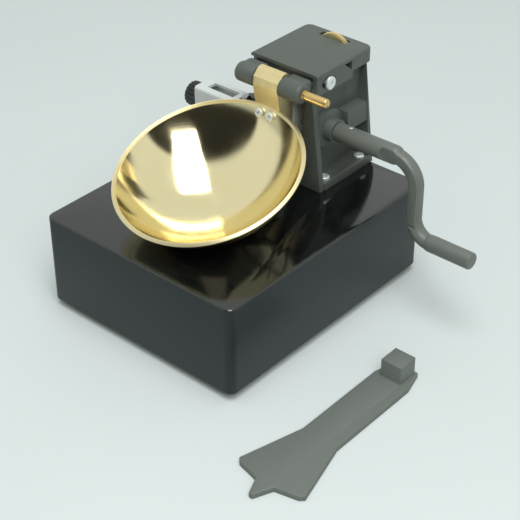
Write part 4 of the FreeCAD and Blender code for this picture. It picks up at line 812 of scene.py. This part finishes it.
# moulded phenolic: deep black, half gloss, with light scuffing on the ribs
black_phenolic, tree, here = start_material("black_moulded_phenolic")
scuff = add_node(tree, "ShaderNodeTexNoise", {"Scale": 1 / KNOB_SCUFF, "Detail": 6.0}, Vector=here)
tone = add_node(tree, "ShaderNodeMix", {"data_type": "RGBA"}, Factor=scuff.outputs["Fac"])
tone.inputs[6].default_value = srgb("#0C0E0E")
tone.inputs[7].default_value = srgb("#191C1C")
rough = add_node(tree, "ShaderNodeMapRange", {"To Min": 0.25, "To Max": 0.5}, Value=scuff.outputs["Fac"])
shader = add_node(tree, "ShaderNodeBsdfPrincipled", {"IOR": 1.55}, Base_Color=tone.outputs[2],
                  Roughness=rough.outputs["Result"])
close_material(tree, shader)
COUNTER_Y = 29.3
KNOB_PLACE = at(-57.8, COUNTER_Y, COUNTER_MIDDLE_Z)
knob_profile = [(0, 0.5), (4.3, 0.5), (4.8, 0.05), (5.0, 0.0), (6.0, 0.0), (6.45, 0.2), (6.7, 0.7),
                (6.7, 7.1), (6.45, 7.6), (6.0, 7.8), (1.25, 7.8), (1.25, 1.5), (0, 1.5)]
knob = turned("ribbed_reset_knob", knob_profile, KNOB_PLACE, (1, 0, 0), 72)
knurl(knob, KNOB_PLACE, "X", 6.4, 72, 2, 0.92)
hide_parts("reset_knob")
dress(knob, black_phenolic, "knob")
dress(own_copy("counter_spindle", "counter_spindle_rod", 0.15), ground_steel, "knob")
dress(own_copy("trip_lever", "trip_lever_arm", 0.2), ground_steel, "lever")

STYRENE_CLOUD = 2 * MM
# polystyrene: clean white with a slight shine and a faint unevenness, for the wheels
white_styrene, tree, here = start_material("white_polystyrene")
shade = add_node(tree, "ShaderNodeTexNoise", {"Scale": 1 / STYRENE_CLOUD, "Detail": 2.0}, Vector=here)
tone = add_node(tree, "ShaderNodeMix", {"data_type": "RGBA"}, Factor=shade.outputs["Fac"])
tone.inputs[6].default_value = srgb("#DCDEDB")
tone.inputs[7].default_value = srgb("#E8E9E6")
shader = add_node(tree, "ShaderNodeBsdfPrincipled", {"Roughness": 0.3, "IOR": 1.59},
                  Base_Color=tone.outputs[2])
close_material(tree, shader)
LAST_WHEEL_X = -41.8
WHEEL_PITCH = 3.5
WHEEL_HALF = 1.6
WHEEL_R = 5.0
wheel_places = [at(LAST_WHEEL_X + WHEEL_PITCH * (5 - n) - WHEEL_HALF, COUNTER_Y, COUNTER_MIDDLE_Z)
                for n in range(1, 6)]
digit_profile = [(1.24, 0.3), (3.6, 0.3), (3.8, 0), (4.9, 0), (WHEEL_R, 0.1), (WHEEL_R, 3.1),
                 (4.9, 3.2), (3.8, 3.2), (3.6, 2.9), (1.24, 2.9), (1.24, 0.3)]
digit_model = turned("digit_rim_model", digit_profile, Vector((0, 0, 0)), (1, 0, 0), 60)
FIGURE_SIZE = 3.3 * MM
FIGURE_RAISED = 0.09 * MM
FIGURE_SUNK = 0.01
figures = []
for figure in range(10):
    bpy.ops.object.select_all(action="DESELECT")
    bpy.ops.object.text_add(location=(0, 0, 0))
    text = bpy.context.object
    text.data.body = str(figure)
    text.data.size = FIGURE_SIZE
    text.data.extrude = FIGURE_RAISED
    text.data.resolution_u = 3
    text.data.align_x = "CENTER"
    text.data.align_y = "CENTER"
    bpy.ops.object.convert(target="MESH")
    text.matrix_world = (Matrix.Rotation(-math.tau * figure / 10, 4, "X") @
                         Matrix.Translation((WHEEL_HALF * MM, 0, (WHEEL_R - FIGURE_SUNK) * MM)))
    bpy.ops.object.transform_apply(location=True, rotation=True, scale=True)
    figures.append(text)
bpy.ops.object.select_all(action="DESELECT")
for text in figures:
    text.select_set(True)
bpy.context.view_layer.objects.active = figures[0]
bpy.ops.object.join()
figure_model = bpy.context.object
bpy.ops.object.mode_set(mode="EDIT")
bpy.ops.mesh.select_all(action="SELECT")
bpy.ops.mesh.remove_doubles(threshold=WELD)
bpy.ops.mesh.normals_make_consistent(inside=False)
bpy.ops.object.mode_set(mode="OBJECT")
WHEEL_BODIES = ["units_wheel", "tens_wheel", "hundreds_wheel", "thousands_wheel", "ten_thousands_wheel"]
for number, (place, body) in enumerate(zip(wheel_places, WHEEL_BODIES), start=1):
    rim = copy_of(digit_model, "digit_wheel_" + str(number) + "_rim")
    marks_piece = copy_of(figure_model, "digit_wheel_" + str(number) + "_figures")
    for piece, material, slot in ((rim, white_styrene, "digit_white"),
                                  (marks_piece, black_phenolic, "counter_black")):
        select_only(piece)
        piece.location = place
        bpy.ops.object.transform_apply(location=True, rotation=True, scale=True)
        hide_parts("digit_wheel_" + str(number))
        dress(piece, material, body)
bpy.data.objects.remove(digit_model)
bpy.data.objects.remove(figure_model)


# Grooving tool: a flat moulding with a blunt tooth between two wings, and a square gauge block at
# its far end to set the fall by. It lies loose on the bench.
SCRATCH = 9 * MM
# moulded nylon, dull from the mould and finely scratched by grit on its flat face
dull_nylon, tree, here = start_material("dull_moulded_nylon")
grain = add_node(tree, "ShaderNodeTexNoise", {"Scale": 1 / GRAIN, "Detail": 4.0}, Vector=here)
drawn = add_node(tree, "ShaderNodeMapping", {"Scale": (12.0, 1.0, 1.0)}, Vector=here)
scratch = add_node(tree, "ShaderNodeTexNoise", {"Scale": 1 / SCRATCH, "Detail": 9.0, "Roughness": 0.75},
                   Vector=drawn.outputs["Vector"])
tone = add_node(tree, "ShaderNodeMix", {"data_type": "RGBA"}, Factor=scratch.outputs["Fac"])
tone.inputs[6].default_value = srgb("#5A605A")
tone.inputs[7].default_value = srgb("#6B716B")
bump = add_node(tree, "ShaderNodeBump", {"Strength": 0.25, "Distance": 0.05 * MM},
                Height=grain.outputs["Fac"])
shader = add_node(tree, "ShaderNodeBsdfPrincipled", {"Roughness": 0.58, "IOR": 1.53},
                  Base_Color=tone.outputs[2], Normal=bump.outputs["Normal"])
close_material(tree, shader)
dress(own_copy("grooving_tool", "grooving_tool_moulding", 0.2), dull_nylon, "tool")

bpy.context.scene.view_settings.view_transform = "Standard"
